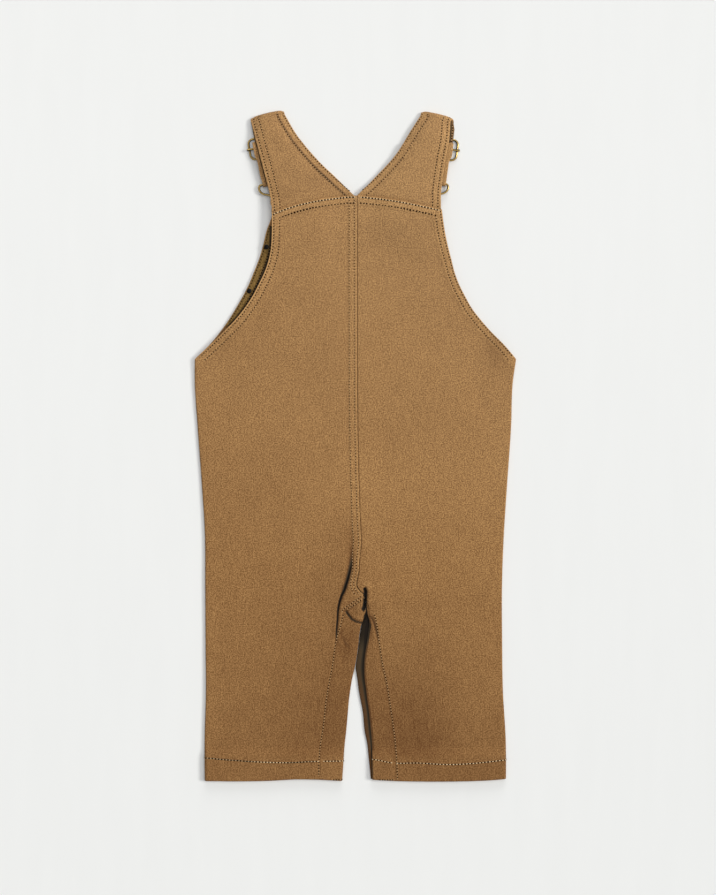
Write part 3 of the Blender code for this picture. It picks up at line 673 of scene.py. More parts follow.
def quads_of(rows, columns, around_rows=False, around_columns=False, flip=False):
    """Quads between neighbours in a grid numbered row by row, joined round where asked."""
    i = np.arange(rows if around_rows else rows - 1)[:, None]
    j = np.arange(columns if around_columns else columns - 1)[None]
    below, after = (i + 1) % rows * columns, (j + 1) % columns
    quads = np.stack([i * columns + j, i * columns + after, below + after, below + j], -1)
    quads = quads.reshape(-1, 4)
    return quads[:, ::-1] if flip else quads


def piece(name, node, points, faces, finishes, weave=None, marks=(), wall=0.0):
    """A mesh piece from points in mm: doubles merged, smooth, with a wall if it is cloth.

    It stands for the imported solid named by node, or is an extra piece where node is None.
    """
    mesh = bpy.data.meshes.new(name)
    mesh.from_pydata((points * MM).tolist(), [], faces.tolist())
    if weave is not None:
        corners = np.zeros(len(mesh.loops), int)
        mesh.loops.foreach_get("vertex_index", corners)
        mesh.uv_layers.new(name="weave").data.foreach_set("uv", weave[corners].ravel())
    for mark, values in dict(marks).items():
        mesh.attributes.new(mark, "FLOAT", "POINT").data.foreach_set("value", values)
    shape = bmesh.new()
    shape.from_mesh(mesh)
    bmesh.ops.remove_doubles(shape, verts=shape.verts, dist=1e-6)
    shape.to_mesh(mesh)
    shape.free()
    mesh.shade_smooth()
    for material in finishes:
        mesh.materials.append(material)
    made = bpy.data.objects.new(name, mesh)
    bpy.context.scene.collection.objects.link(made)
    if wall:
        solid = made.modifiers.new("wall", "SOLIDIFY")
        solid.thickness = wall * MM
        solid.offset = -1.0
    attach(made, "root")
    if node:
        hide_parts(node)
    return made


def cloth(name, node, grids, finish):
    """One cut of cloth from grids: each has points, flip, and fields over its points."""
    points, faces, weave, wear_and_highlight, painted_shade, count = [], [], [], [], [], 0
    for grid in grids:
        rows, columns = grid["points"].shape[:2]
        points.append(grid["points"].reshape(-1, 3))
        faces.append(quads_of(rows, columns, flip=grid["flip"]) + count)
        weave.append(grid["weave"].reshape(-1, 2))
        wear_and_highlight.append(grid["wear_and_highlight"].ravel())
        painted_shade.append(grid["painted_shade"].ravel())
        count += rows * columns
    marks = {"wear_and_highlight": np.concatenate(wear_and_highlight), "painted_shade": np.concatenate(painted_shade)}
    made = piece(name, node, np.vstack(points), np.vstack(faces), [finish],
                 np.vstack(weave), marks, CLOTH)
    print(f"{name}: {count} points, {2 * sum(map(len, faces))} triangles on one face")
    return made


def normals_of(points, flip):
    """Unit normals of a grid: the cross product of its two directions at each point."""
    down, over = np.gradient(points, axis=0), np.gradient(points, axis=1)
    normal = np.cross(over, down) if not flip else np.cross(down, over)
    return normal / np.maximum(np.linalg.norm(normal, axis=-1, keepdims=True), 1e-9)


# %% [markdown]
# ## The backs
# Each back is cut in one with its leg. Its outer edge is the armhole and then the side fold,
# its inner edge the centre seam and then the inseam, and its top is turned in and laid over
# the yoke. The left back is lapped over the right in the felled seam. Below the crotch the
# edge crosses to the inseam along the slanting cross seam.

# %% Heights of the upper layer, seams included
HEM_ROWS = {
    -1: [(-131, -270.2), (-103, -272.6), (-75, -274.1), (-57, -274.3), (-39, -273.4),
         (-12, -273.0)],
    1: [(14, -271.4), (19.5, -272.1), (29.7, -274.3), (54.3, -274.7), (81.8, -276.0),
        (100, -275.2), (131, -271.9)],
}
HEM_WAVES = {
    -1: [(-131, 0.5), (-100, 0.2), (-75, 0.7), (-50, 1.9), (-30, 1.6), (-11, 0.4)],
    1: [(12, 1.7), (35, 0.5), (60, 0.0), (100, 0.4), (120, 1.3), (131, 2.3)],
}
SEAM_LINE = line_of(CENTRE_BACK)
INSEAM_LINES = {out: line_of(INSEAMS, out) for out in (-1, 1)}
ARMHOLE_LINES = {out: line_of(BACK_ARMHOLES, out) for out in (-1, 1)}
CROSS_TOP = -131.5         # height at which the cross seam leaves the centre seam
CROSS_SEAM = np.array([(8.6, CROSS_TOP), (-8.6, CROTCH)])
CROSS_ROWS = (0.9, 3.1)    # rows of topstitching beside it
INSEAM_ROW = 1.3           # and beside the inseam
FAR = 99.0                 # mm, a distance that stands for none


def roll(y):
    """How far the two layers roll together at the sides: none at the armholes."""
    return ease((84 - y) / 14)


def hem_wave(x, y, out):
    """The hem's edge isn't quite straight: a wave that grows towards it."""
    return through(HEM_WAVES[out], x) * ease((-244 - y) / 44)


def seam_distances(x, y, out):
    """How far in from each edge and seam the points of a back lie, and their place along it.

    A distance is FAR where its seam doesn't reach, as the armhole's is down the side fold.
    """
    arm, arm_along = from_line(x, y, ARMHOLE_LINES[out])
    yoke, yoke_along = from_line(x, y, YOKE_LINE)
    seam, seam_along = from_line(x, y, SEAM_LINE)
    inseam, inseam_along = from_line(x, y, INSEAM_LINES[out])
    left, above = np.full(x.shape, out < 0), y > CROTCH
    lapped = np.where(left & above & (seam < 0), -seam, FAR)
    apart = {
        "arm": np.where(y > TIP - 13, np.maximum(-out * arm, 0), FAR),
        "yoke": np.abs(yoke),
        "lapped": lapped,
        "narrowed": lapped + SEAM_NARROWS * ease((-88 - y) / 24),
        "beside": np.where(above, np.abs(seam), FAR),
        "inseam": np.where(y < CROTCH + 4, np.abs(inseam), FAR),
        "cross": np.where(left, np.abs(from_line(x, y, CROSS_SEAM)[0]), FAR),
    }
    along = {"arm": arm_along, "yoke": yoke_along, "lapped": seam_along, "inseam": inseam_along}
    return apart, along


def seam_shape(x, y, out, apart, along):
    """What the seams add to the height: raised bands, rounded folds, channels and puckers."""
    arm, yoke, lapped, inseam = (apart[k] for k in ("arm", "yoke", "lapped", "inseam"))
    hem_row = through(HEM_ROWS[out], x)
    arm_1, arm_2 = ARM_ROWS[out]
    yoke_1, yoke_2 = YOKE_ROWS
    arm_fade, seam_fade = ease((y - TIP + 8) / 4), ease((y - CROSS_TOP) / 8)
    shape = np.maximum.reduce([raised(arm), raised(yoke), raised(lapped, 7.6, 0.34)])
    shape = shape + 0.22 * ease((hem_row + 0.8 - y) / 1.2)
    shape += rounded(arm) + rounded(yoke) + rounded(lapped, 0.4) * 0.8
    shape += (channel(arm, arm_1) + channel(arm, arm_2)) * arm_fade
    shape += channel(yoke, yoke_1) + channel(yoke, yoke_2) * (arm > arm_2)
    shape += channel(lapped, SEAM_ROW_1, 0.12) * seam_fade
    shape += channel(apart["narrowed"], SEAM_ROW_2, 0.05) * seam_fade
    shape += channel(y, hem_row, 0.24)
    shape += sum(channel(apart["cross"], row, 0.2) for row in CROSS_ROWS)
    shape += channel(inseam, 0.0, 0.16) + channel(inseam, INSEAM_ROW, 0.12)
    shape += puckered(arm, along["arm"], 1.3 * out, 0.18) * ease(arm / 1.2)
    shape += puckered(yoke, along["yoke"], 2.1, 0.2)
    shape += puckered(lapped, along["lapped"], 0.4, 0.14) * seam_fade
    shape += puckered(np.abs(y - hem_row) + 2.0, x * 1.1, 3.0, 0.16)
    shape += puckered(inseam + 3.2, along["inseam"], 5.0, 0.12)
    if out > 0:      # the right back dips beside the edge that is lapped over it
        shape -= 0.40 * bell(apart["beside"], 0.6)
    else:            # the left armhole's edge stands a little open
        shape += 0.9 * bell(arm, 9) * ease((y - 84) / 30) * ease((206 - y) / 26)
    return shape


def seam_marks(x, y, out, apart):
    """Wear and painted highlights on folded edges and bands, and painted shade in channels,
    puckers and beside the lap.
    """
    arm, yoke, lapped, inseam = (apart[k] for k in ("arm", "yoke", "lapped", "inseam"))
    hem_row = through(HEM_ROWS[out], x)
    rows = np.min([np.abs(arm - row) for row in ARM_ROWS[out]], axis=0)
    soft_rows = np.min([*(np.abs(yoke - row) for row in YOKE_ROWS),
                        np.abs(lapped - SEAM_ROW_1), inseam, np.abs(y - hem_row)], axis=0)
    dark = 0.14 * bell(rows, 0.8) + 0.08 * bell(soft_rows, 0.8)
    dark += 0.35 * puckered(np.minimum(yoke, arm) - 1.5, x * 1.03 + y * 0.6, 0.0, 1.0) ** 2
    edge = np.minimum.reduce([arm, yoke, lapped])
    wear_and_highlight = 0.8 * bell(edge, 0.6) + 0.30 * raised(edge, 7.4, 1.0) - 0.15 * raised(lapped, 7.4, 1.0)
    if out > 0:
        # painted shade below the hem row, and in the crevice beside the lapped edge
        dark += 0.12 * ease((hem_row + 0.5 - y) / 2)
        lap_shade = 1.6 + 1.9 * ease((-104 - y) / 16)
        dark += lap_shade * bell(apart["beside"], 0.5) * ease((y + 140) / 9)
    else:
        # a painted highlight along the left armhole's edge, where light catches it
        wear_and_highlight += 2.2 * bell(arm, 0.9) * ease((y - 95) / 20)
    return wear_and_highlight, dark


def upper(x, y, out):
    """The upper layer at plan points: height, the creases' sideways move, and its fields.

    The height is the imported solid's top, plus what seams, softness and creases add, and never
    less than clear of the layer below.
    """
    apart, along = seam_distances(x, y, out)
    soft = 0.38 * softness(x, y, 46, 58, 5) + 0.13 * softness(x, y, 13, 90, 6)
    soft += 0.13 * softness(x, y, 17, 21, 7)
    rise, shift, dark = creased(x, y)
    wear_and_highlight, painted_shade = seam_marks(x, y, out, apart)
    shape = seam_shape(x, y, out, apart, along) + soft * ease((y - FOOT) / 30) + rise
    height = top_height(x, y)
    height = height + np.maximum(shape, 2 * CLOTH + 0.25 - height)
    return height, shift, {**apart, "wear_and_highlight": wear_and_highlight, "painted_shade": painted_shade + dark}


print("rows at the armholes:", ARM_ROWS, "and the yoke:", YOKE_ROWS)

# %% The two backs
BACK_TOP = 203.0           # nominal height of the backs' top row
YOKE_FADE = 150.0          # below this the rows no longer follow the yoke's arch
TURN = np.radians([0, 4, 14, 28, 46, 68, 90])
EDGE_STEP = 0.12           # mm between the same columns where the edge doesn't turn
SEAM_SIDE = np.concatenate([[0, 0.12, 0.35], np.arange(0.8, 27, 0.6)])


def rows_between(*stretches):
    """Row heights from stretches of (from, to, step)."""
    parts = [np.linspace(a, b, int(abs(a - b) / step) + 1)[:-1] for a, b, step in stretches]
    return np.concatenate([*parts, [stretches[-1][1]]])


BACK_ROWS = rows_between((BACK_TOP, 202.8, 0.1), (202.8, 192, 0.7), (192, -92, 1.45),
                         (-92, -172, 0.65), (-172, -266, 1.5), (-266, -290, 0.8),
                         (-290, FOOT, 0.2))


def back_inner(out, y):
    """Inner edge of a back: the centre seam, the slanting cross seam, then the inseam."""
    seam = through(CENTRE_BACK, y)
    crossing = (CROSS_TOP - y) / (CROSS_TOP - CROTCH)
    slant = seam + (side(INSEAMS, out, CROTCH) - seam) * np.clip(crossing, 0, 1)
    return np.where(y > CROTCH, slant, side(INSEAMS, out, y)) + out * HAIR


def side_turn(edge, y):
    """The quarter turn at the side: how far in each column lies, and how far off the face.

    Both are the radius of the fold times 1 - cos or 1 - sin. At the armholes, where roll is
    0, the columns lie flat instead, a step apart.
    """
    radius, rolled = top_height(edge, y)[:, None] / 2, roll(y)[:, None]
    flat = EDGE_STEP * np.arange(len(TURN))
    inward = radius * (1 - np.cos(TURN)) * rolled + flat * (1 - rolled)
    return inward, rolled * (radius - HAIR / 2) * (1 - np.sin(TURN))


def back_grid(out):
    """Rows down the garment; along each, a quarter turn at the side fold and then inward."""
    y = BACK_ROWS
    edge = np.where(y > TIP, side(BACK_ARMHOLES, out, y), side(SIDE_FOLDS, out, y))
    turned, off_face = side_turn(edge, y)
    width = np.abs(back_inner(out, y) - edge) - turned[:, -1]
    columns = spread(width, 26, NEAR[1:], SEAM_SIDE) * width[:, None] + turned[:, -1:]
    x = edge[:, None] - out * np.hstack([turned, columns])
    follow = ease((y - YOKE_FADE) / (BACK_TOP - YOKE_FADE))[:, None]
    height = y[:, None] + (through(YOKE_SEAM, x) - BACK_TOP - HAIR) * follow
    z, shift, fields = upper(x, height, out)
    z[:, :len(TURN)] -= off_face
    height = height + hem_wave(x, height, out)
    points = np.stack([x + shift, height, z], -1)
    return {"points": points, "flip": out < 0, "weave": np.stack([x, height], -1), **fields}


backs = {}
for out, name in SIDES:
    backs[out] = back_grid(out)
    cloth(name + "_back_and_leg", "back_" + name, [backs[out]], TWILL)

# %% [markdown]
# ## The fronts
# Each front is one with its leg too. It lies on the table, turns up round the inner leg and
# meets the back at the inseam, so that part of the front's cloth shows from above. What lies
# on the table is finished plainly: turned armholes and bib top, and a felled centre seam.

# %% The two fronts
BIB_TOP = 216.5
FRONT_ROWS = rows_between((BIB_TOP, 216.3, 0.1), (216.3, 205, 1.1), (205, -140, 2.6),
                          (-140, CROTCH - 0.2, 1.2))
LEG_ROWS = rows_between((CROTCH - 0.2, -172, 0.8), (-172, -266, 1.5), (-266, -290, 0.8),
                        (-290, FOOT, 0.2))
WIDE = np.array([0, 0.15, 0.6, 1.4, 2.4, 4.0, 6.0, 7.0, 8.2, 10.0])
FRONT_SEAM_ROWS = (2.0, ROW_2)
FRONT_SEAM_LINE = line_of(CENTRE_FRONT)
FRONT_ARMHOLE_LINES = {out: line_of(FRONT_ARMHOLES, out) for out in (-1, 1)}


def front_edge(out, y):
    """Outer edge of a front: the armhole, then the side fold."""
    return np.where(y > TIP, side(FRONT_ARMHOLES, out, y), side(SIDE_FOLDS, out, y))


def lower(x, y, out):
    """Height of the front's outer face: its seams rest, and the cloth between lifts."""
    arm = np.where(y > TIP - 6, np.abs(from_line(x, y, FRONT_ARMHOLE_LINES[out])[0]), FAR)
    seam = np.where(y > CROTCH, np.abs(from_line(x, y, FRONT_SEAM_LINE)[0]), FAR)
    top, hem = BIB_TOP - y, y - through(HEM_ROWS[out], x)
    edge = np.minimum(arm, top)
    band = np.maximum.reduce([raised(edge, BAND, 1.0), raised(seam, 8.0, 1.0)])
    rows = [arm - ROW_1, arm - ROW_2, top - ROW_1, top - ROW_2, hem]
    rows += [seam - row for row in FRONT_SEAM_ROWS]
    channels = np.abs(rows).min(axis=0)
    slit = bell(x - 7.9, 1.7) * ease((y + 153) / 3) * ease((-130 - y) / 3)
    # painted shade in the stitch channels, and near black where this face shows through the slit
    fields = {"arm": arm, "top": top, "seam": seam, "wear_and_highlight": bell(edge, 0.6),
              "painted_shade": bell(channels, 0.9) + 5 * slit}
    lift = 0.16 * (1 - band) + 0.14 * (1 + softness(x, y, 38, 52, 11)) * (1 - band)
    lift += 0.30 * bell(channels, 0.7) - rounded(edge) * 0.8
    return under_height(x, y) + lift * ease((y - FOOT) / 6), fields


def front_below(out):
    """The face on the table, from the side fold to the centre seam or the inner leg."""
    y = np.concatenate([FRONT_ROWS[:-1], LEG_ROWS])
    edge = front_edge(out, y)
    turned, off_face = side_turn(edge, y)
    fold = side(INNER_LEG_FOLDS, out, y)
    bend = top_height(fold, y) / 2
    seam = through(CENTRE_FRONT, y) + out * HAIR
    inner = np.where(y < CROTCH, fold + out * bend, seam)
    width = np.abs(inner - edge) - turned[:, -1]
    columns = spread(width, 22, WIDE[1:], WIDE) * width[:, None] + turned[:, -1:]
    x = edge[:, None] - out * np.hstack([turned, columns])
    rows = np.broadcast_to(y[:, None], x.shape)
    z, fields = lower(x, rows, out)
    near_fold = np.where(rows < CROTCH, ease(np.abs(x - inner[:, None]) / 6), 1)
    z = under_height(x, rows) + (z - under_height(x, rows)) * near_fold
    z[:, :len(TURN)] += off_face
    height = rows + hem_wave(x, rows, out)
    points = np.stack([x, height, z], -1)
    return {"points": points, "flip": out > 0, "weave": points[..., :2], **fields}


SHELF_BEND = 0.85          # radius of the right leg's folded lower layer
UPPER_EDGE = [             # out from the inner fold, and height: in mm, and shares of the top
    (-0.35, 1.6, 0), (0.15, 1.35, 0), (0.05, 0, 0.5), (-0.12, 0, 0.66), (-0.05, 0, 0.82),
    (0.25, 0, 0.94), (0.8, 0, 0.985),
]


def inner_turn(out, fold, bend, top):
    """Points round the inner leg from the table to the top: x, z and share of the way.

    The left leg turns in half a circle. On the right the lower layer lies further out as a
    shelf, folded back on itself, and the upper layer's edge stands over it.
    """
    fold, bend, top = fold[:, None], bend[:, None], top[:, None]
    inner = fold + out * bend
    if out < 0:
        angle = np.radians(np.linspace(0, 180, 15))
        x = inner + bend * np.sin(angle)
        return x, top * (1 - np.cos(angle)) / 2, angle / math.pi + 0 * x
    shelf = through(LOWER_LAYER, LEG_ROWS)[:, None] + SHELF_BEND
    angle = np.radians(np.linspace(0, 180, 6))
    aside, height, share = np.array(UPPER_EDGE).T
    x = np.hstack([inner, (inner + shelf) / 2, shelf - SHELF_BEND * np.sin(angle),
                   (shelf + fold) / 2, fold + aside, (fold + inner) / 2 + 0.4, inner])
    z = np.hstack([0 * top, 0 * top, SHELF_BEND * (1 - np.cos(angle)) + 0 * top,
                   1.75 + 0 * top, height + share * top, top, top])
    return x, z, np.linspace(0, 1, x.shape[1]) + 0 * x


def front_flap(out):
    """From the table up round the inner leg, and over to the inseam."""
    y = LEG_ROWS
    fold = side(INNER_LEG_FOLDS, out, y)
    bend = top_height(fold, y) / 2
    inner = fold + out * bend
    width = np.abs(side(INSEAMS, out, y) - out * HAIR - inner)
    across = spread(width, 24, np.array([0.35, 0.8]), np.array([0, 0.12, 0.35, 0.8, 1.4]))
    flat_x = inner[:, None] + out * across * width[:, None]
    top, _, _ = upper(inner[:, None], y[:, None] + 0 * inner[:, None], out)
    turn_x, turn_z, part = inner_turn(out, fold, bend, top[:, 0])
    x = np.hstack([turn_x, flat_x])
    part = np.hstack([ease(part), np.ones(flat_x.shape)])
    start, end = through(CENTRE_BACK, CROSS_TOP), side(INSEAMS, out, CROTCH)
    slope = np.clip((x - end) / (start - end), 0, 1) * (CROSS_TOP - CROTCH)
    height = y[:, None] + slope * part * ease((y + 172) / 28)[:, None]
    z, shift, fields = upper(x, height, out)
    turns = turn_x.shape[1]
    crease = np.minimum(z[:, :turns] - top_height(x, height)[:, :turns], 0)
    z = np.hstack([np.maximum(turn_z + crease * part[:, :turns] ** 2, ABOVE_TABLE), z[:, turns:]])
    shift[:, :turns] *= part[:, :turns] ** 3
    if out > 0:      # painted shade between the two layers, and a painted dark line where they meet
        deep = (0.85 + 0.32 * ease((y + 222) / 30) + 0.95 * ease((y + 178) / 16))[:, None]
        line = bell(turn_x - fold[:, None] + 0.3, 0.4) * (turn_z < 2.6)
        fields["painted_shade"][:, :turns] += bell(turn_z - 1.7, 1.3) * deep + 1.5 * line
    # painted near-black shade in the turned cloth inside the slit at the crotch, and a little
    # painted shade over all the flap above the hem
    slit = ease((1 - part[:, :turns]) * 4 - 0.5) if out < 0 else part[:, :turns] < 0.85
    fields["painted_shade"][:, :turns] += 4 * slit * ease((y + 154) / 2)[:, None]
    fields["painted_shade"] += 0.05 * ease((y + 274) / 9)[:, None]
    height = height + hem_wave(x, height, out)
    points = np.stack([x + shift, height, z], -1)
    return {"points": points, "flip": out > 0, "weave": np.stack([x, height], -1), **fields}


fronts, flaps = {}, {}
for out, name in SIDES:
    fronts[out], flaps[out] = front_below(out), front_flap(out)
    cut = [fronts[out], flaps[out]]
    cloth(name + "_front_and_leg", "front_" + name, cut, TWILL)

# %% [markdown]
# ## Yoke and straps
# Each half of the yoke is cut in one with its strap. The strap runs up over the shoulder, down
# underneath to the bar of its hook, round that bar, and back up to the slider, where its end
# is sewn down. It is one ribbon carried along that path, with the seam profiles along both of
# its edges.

# %% Sizes of the straps
BAR_HEIGHT = CLOTH + GAP + WIRE / 2    # of the middle of a hook's bar
WIRE_LIFTS = [  # up from the slider's bar, and the strap's height over and under its wires
    (-18, 0.0), (-11.2, 2.15), (-8.8, 2.25), (-6.5, 2.15), (-3, 1.1), (0, 0.95), (3, 1.1),
    (6.5, 2.15), (8.8, 2.25), (11.2, 2.15), (18, 0.0),
]
RETURN_RUN = [(-18, 4.9), (-9, 5.3), (-3, 5.9), (0, 6.0), (5, 5.9)]   # and as it comes back
RETURN_HEIGHT = 4.45               # between the hook and there
NEAR_SLIDER = 18.0                 # how far from its bar the slider bends the strap
SEWN_END = {-1: 1.3, 1: 1.9}       # how far the strap's doubled end stands out sideways
RETURN_SHIFT = {-1: 0.9, 1: 0.0}   # how far the strap lies to the outer side as it returns
NECK_SHADE = {-1: 1.15, 1: 0.40}   # shade along the turned cloth at the neck edge
LOOP_SHIFT = {-1: 0.0, 1: 1.2}     # how far it lies aside as it runs down from the shoulder
LOOP_SHADE = {-1: 0.4, 1: 1.1}     # shade inside the folded loop
EDGE_SHADE = {-1: (2.9, 0.2), 1: (0.9, 0.1)}   # painted shadow under the strap's edge, and how far out it reaches
NECK_TUCKS = {-1: [(-38.5, 258.0), (-42.5, 253.5), (-46.0, 247.0)],
              1: [(44.0, 262.0), (47.5, 256.0), (49.5, 249.0)]}
TOP_ROWS, FOLD_ROWS = 64, 20         # rows on top, and round the shoulder fold
NECK_FALL = 2.4                      # how far a strap's neck edge falls towards the table
OUTER_FALL = [(-30, 1.2), (-12, 1.4), (0, 0.8), (36, 0.8), (46, 2.4), (70, 2.8)]
LAPPED = 0.6                         # how far the yoke reaches under the backs' top edge
FOLD_BULGE = {-1: 2.1, 1: 1.8}       # how far the soft fold stands beyond a straight line


# %% A strap's path
def edge_line(corners, count):
    """A smooth line through a strap edge's corner points."""
    marks = np.linspace(0, 1, len(corners))
    at = np.linspace(0, 1, count)
    columns = [through([(m, c[k]) for m, c in zip(marks, corners)], at) for k in (0, 1)]
    return np.column_stack(columns)


def level_row(strap, up, z, across):
    """One row of a strap's lower runs: straight across it, at one height."""
    plan = strap_point(strap, up, STRAP_WIDTH / 2 - across * STRAP_WIDTH)
    return np.column_stack([plan, np.full(len(across), z)])


def strap_top(strap):
    """The run on top: its points, each row's fractions across, and mm in from both edges.

    The rows join the outer edge to the inner one. The first ones bow up to the yoke seam, and
    the last ones bulge at the shoulder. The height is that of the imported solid, lower where
    the backs are lapped over the yoke and where both edges fall towards the table.
    """
    out = strap["out"]
    outer, inner = edge_line(strap["outer"], TOP_ROWS), edge_line(strap["inner"], TOP_ROWS)
    across = spread(np.linalg.norm(inner - outer, axis=1), 12)
    plan = outer[:, None] + across[..., None] * (inner - outer)[:, None]
    bow = through(YOKE_SEAM, plan[0, :, 0]) - LAPPED - plan[0, :, 1]
    station = np.arange(TOP_ROWS)[:, None]
    plan[..., 1] += bow * np.clip(1 - station / 21, 0, 1)
    bulge = FOLD_BULGE[out] * (1 - (2 * across - 1) ** 4) * (0.85 + 0.3 * across)
    plan[..., 1] += bulge * ease((station - TOP_ROWS + 16) / 15)
    x, y = plan[..., 0], plan[..., 1]
    z = top_height(x, y) + 0.22 * softness(x, y, 24, 30, 21) + 0.12 * softness(x, y, 9, 40, 22)
    tucked = np.abs(from_line(x, y, YOKE_LINE)[0])
    z -= 0.42 * (1 - ease(tucked / 3.2)) + 0.45 * (1 - ease((tucked - 0.3) / 0.9))
    tuck, along = from_line(x, y, np.array(NECK_TUCKS[out], float))
    z -= 0.5 * bell(tuck, 1.3) * ease(along / 4)
    run_out, run_in = (np.abs(from_line(x, y, line)[0]) for line in (outer, inner))
    up_along = (plan - np.array(strap["bar"])) @ strap_axes(strap)[0]
    fall = np.interp(up_along, *np.array(OUTER_FALL).T) * (1 - ease(run_out / 12))
    z -= (fall + NECK_FALL * (1 - ease(run_in / 13))) * ease((tucked - 2) / 18)
    return np.stack([x, y, z], -1), across, run_out, run_in


def fold_rows(strap, last, fractions):
    """Rows round the shoulder fold: half a turn from the top's last row to the table."""
    line = last[-1, :2] - last[0, :2]
    away = np.array([-line[1], line[0]]) / np.linalg.norm(line)
    away = away if away[1] > 0 else -away
    shift = np.array(strap["under_corner"]) - last[0, :2]
    radius, depth = last[:, 2] / 2, top_height(last[:, 0], last[:, 1]) / 2
    rows = []
    for angle in np.radians(np.linspace(-82, 90, FOLD_ROWS)):
        moved = np.outer(1 - fractions, shift) * (0.5 + 0.5 * math.sin(angle))
        plan = last[:, :2] + np.outer(depth * math.cos(angle), away) + moved
        rows.append(np.column_stack([plan, radius * (1 - math.sin(angle))]))
    return rows


def lower_rows(strap, folded, fractions):
    """Rows from the fold down through the slider, round the hook's bar and back up."""
    out, bar_up = strap["out"], strap["slider_up"]
    slid, aside = LOOP_SHIFT[out] / STRAP_WIDTH, RETURN_SHIFT[out] / STRAP_WIDTH
    first = level_row(strap, bar_up + NEAR_SLIDER, 0.0, fractions - slid)
    rows = [folded + (first - folded) * t for t in np.linspace(0, 1, 8)[1:]]
    places = np.linspace(NEAR_SLIDER, -NEAR_SLIDER, 33)[1:]
    lifts = np.interp(places, *np.array(WIRE_LIFTS).T)
    lifts[1:-1] = (lifts[:-2] + 2 * lifts[1:-1] + lifts[2:]) / 4
    rows += [level_row(strap, bar_up + p, h, fractions - slid * ease((p + 6) / 12))
             for p, h in zip(places, lifts)]
    rows += [level_row(strap, p, 0.0, fractions)
             for p in np.linspace(bar_up - NEAR_SLIDER, 0, 7)[1:-1]]
    rows += [level_row(strap, -BAR_HEIGHT * math.cos(a), BAR_HEIGHT * (1 + math.sin(a)), fractions)
             for a in np.radians(np.linspace(-90, 90, 13))]
    rows += [level_row(strap, p, RETURN_HEIGHT, fractions - aside * ease(p / 9))
             for p in np.linspace(0, bar_up - NEAR_SLIDER, 6)[1:-1]]
    wider = SEWN_END[out] / STRAP_WIDTH
    for p in np.concatenate([np.linspace(-NEAR_SLIDER, 5, 14), [5.15, 5.3]]):
        end = ease((p + 13) / 7)
        stands_out = wider * (fractions - end) * end
        height = through(RETURN_RUN, p)
        rows.append(level_row(strap, bar_up + p, height, fractions + stands_out - aside))
    return rows


# %% The two straps
def strap_cloth(strap):
    """The ribbon with its seam profiles along both edges, laid along its own normals."""
    out = strap["out"]
    points, across, run_out, run_in = strap_top(strap)
    fractions, rows = across[-1], list(points)
    rows += fold_rows(strap, rows[-1], fractions)
    rows += lower_rows(strap, rows[-1], fractions)
    points, below = np.array(rows), len(rows) - TOP_ROWS
    run_out = np.vstack([run_out, np.tile(fractions * STRAP_WIDTH, (below, 1))])
    run_in = np.vstack([run_in, np.tile((1 - fractions) * STRAP_WIDTH, (below, 1))])
    normal = normals_of(points, out > 0)
    middle = points[:, 16]
    along = np.cumsum(np.linalg.norm(np.diff(middle, axis=0, prepend=middle[:1]), axis=1))[:, None]
    row = np.arange(len(points))[:, None]
    over_fold = TOP_ROWS + 14
    shown, on_top = row < over_fold, row < TOP_ROWS
    edge = np.minimum(run_out, run_in)
    apart = np.min([np.abs(run - at) for run, name in ((run_out, "out"), (run_in, "in"))
                    for at in STRAP_ROWS[name]], axis=0)
    swell = raised(edge, BAND - 0.3, 0.26) + rounded(edge) + channel(apart, 0.0)
    swell = swell + puckered(edge, along, 4.0 + out, 0.17)
    points = points + normal * (swell * np.where(shown, 1.0, 0.35))[..., None]
    points[..., 2] = np.maximum(points[..., 2], ABOVE_TABLE)
    x, y = points[..., 0], points[..., 1]

    # painted shade: stitch channels, the turned cloth at the neck, inside the loop, a shadow under
    # the top run's edge, and the creases
    dark = 0.14 * bell(apart, 0.8) + NECK_SHADE[out] * bell(run_in - 6.2, 1.2) * on_top
    loop = ease((row - TOP_ROWS - 11) / 6) * ease((TOP_ROWS + 50 - row) / 10)
    beyond = -out * from_line(x, y, edge_line(strap["outer"], TOP_ROWS))[0]
    depth, reach = EDGE_SHADE[out]
    hidden = ease((row - over_fold) / 4) * ease((reach + 0.9 - beyond) / 0.9)
    dark += LOOP_SHADE[out] * loop + depth * hidden * ease((beyond + 5) / 2)
    dark += creased(x, y)[2] * on_top
    up, over = strap_axes(strap)
    bar = np.array(strap["bar"])
    plan = points[..., :2] - bar
    weave = np.stack([out * (plan @ over) + bar[0],
                      bar[1] + np.where(shown, plan @ up, along - along[over_fold] + 60)], -1)
    return {"points": points, "flip": out > 0, "weave": weave, "out": run_out, "in": run_in,
            "wear_and_highlight": 0.8 * bell(edge, 0.6) + 0.2 * raised(edge, 7, 1.0), "painted_shade": dark}


straps = {}
for strap in STRAPS:
    straps[strap["out"]] = strap_cloth(strap)
    cut = [straps[strap["out"]]]
    cloth(strap["side"] + "_yoke_and_strap", "strap_" + strap["side"], cut, TWILL)

# %% [markdown]
# ## The facing and the hems
# Inside the left armhole the front's facing shows: a strip on the wrong side of the cloth, so
# it is the duller face of the twill, and its colours are darker partly as painted shade for its
# place under the back's edge. The hems are the legs' own cloth turned up inside; each is a
# ring round the foot of the leg, whose lower lip closes over the edge of the leg.

# %% Armhole facing
FACING_ROWS = rows_between((191, 190.8, 0.1), (190.8, 105.2, 1.2), (105.2, 105, 0.1))
FACING_COLUMNS = np.concatenate([[0.7, 0.8, 1.0, 1.3, 1.7], np.arange(2.4, 17.5, 0.8),
                                 [17.9, 18]])    # mm in from the front's armhole edge


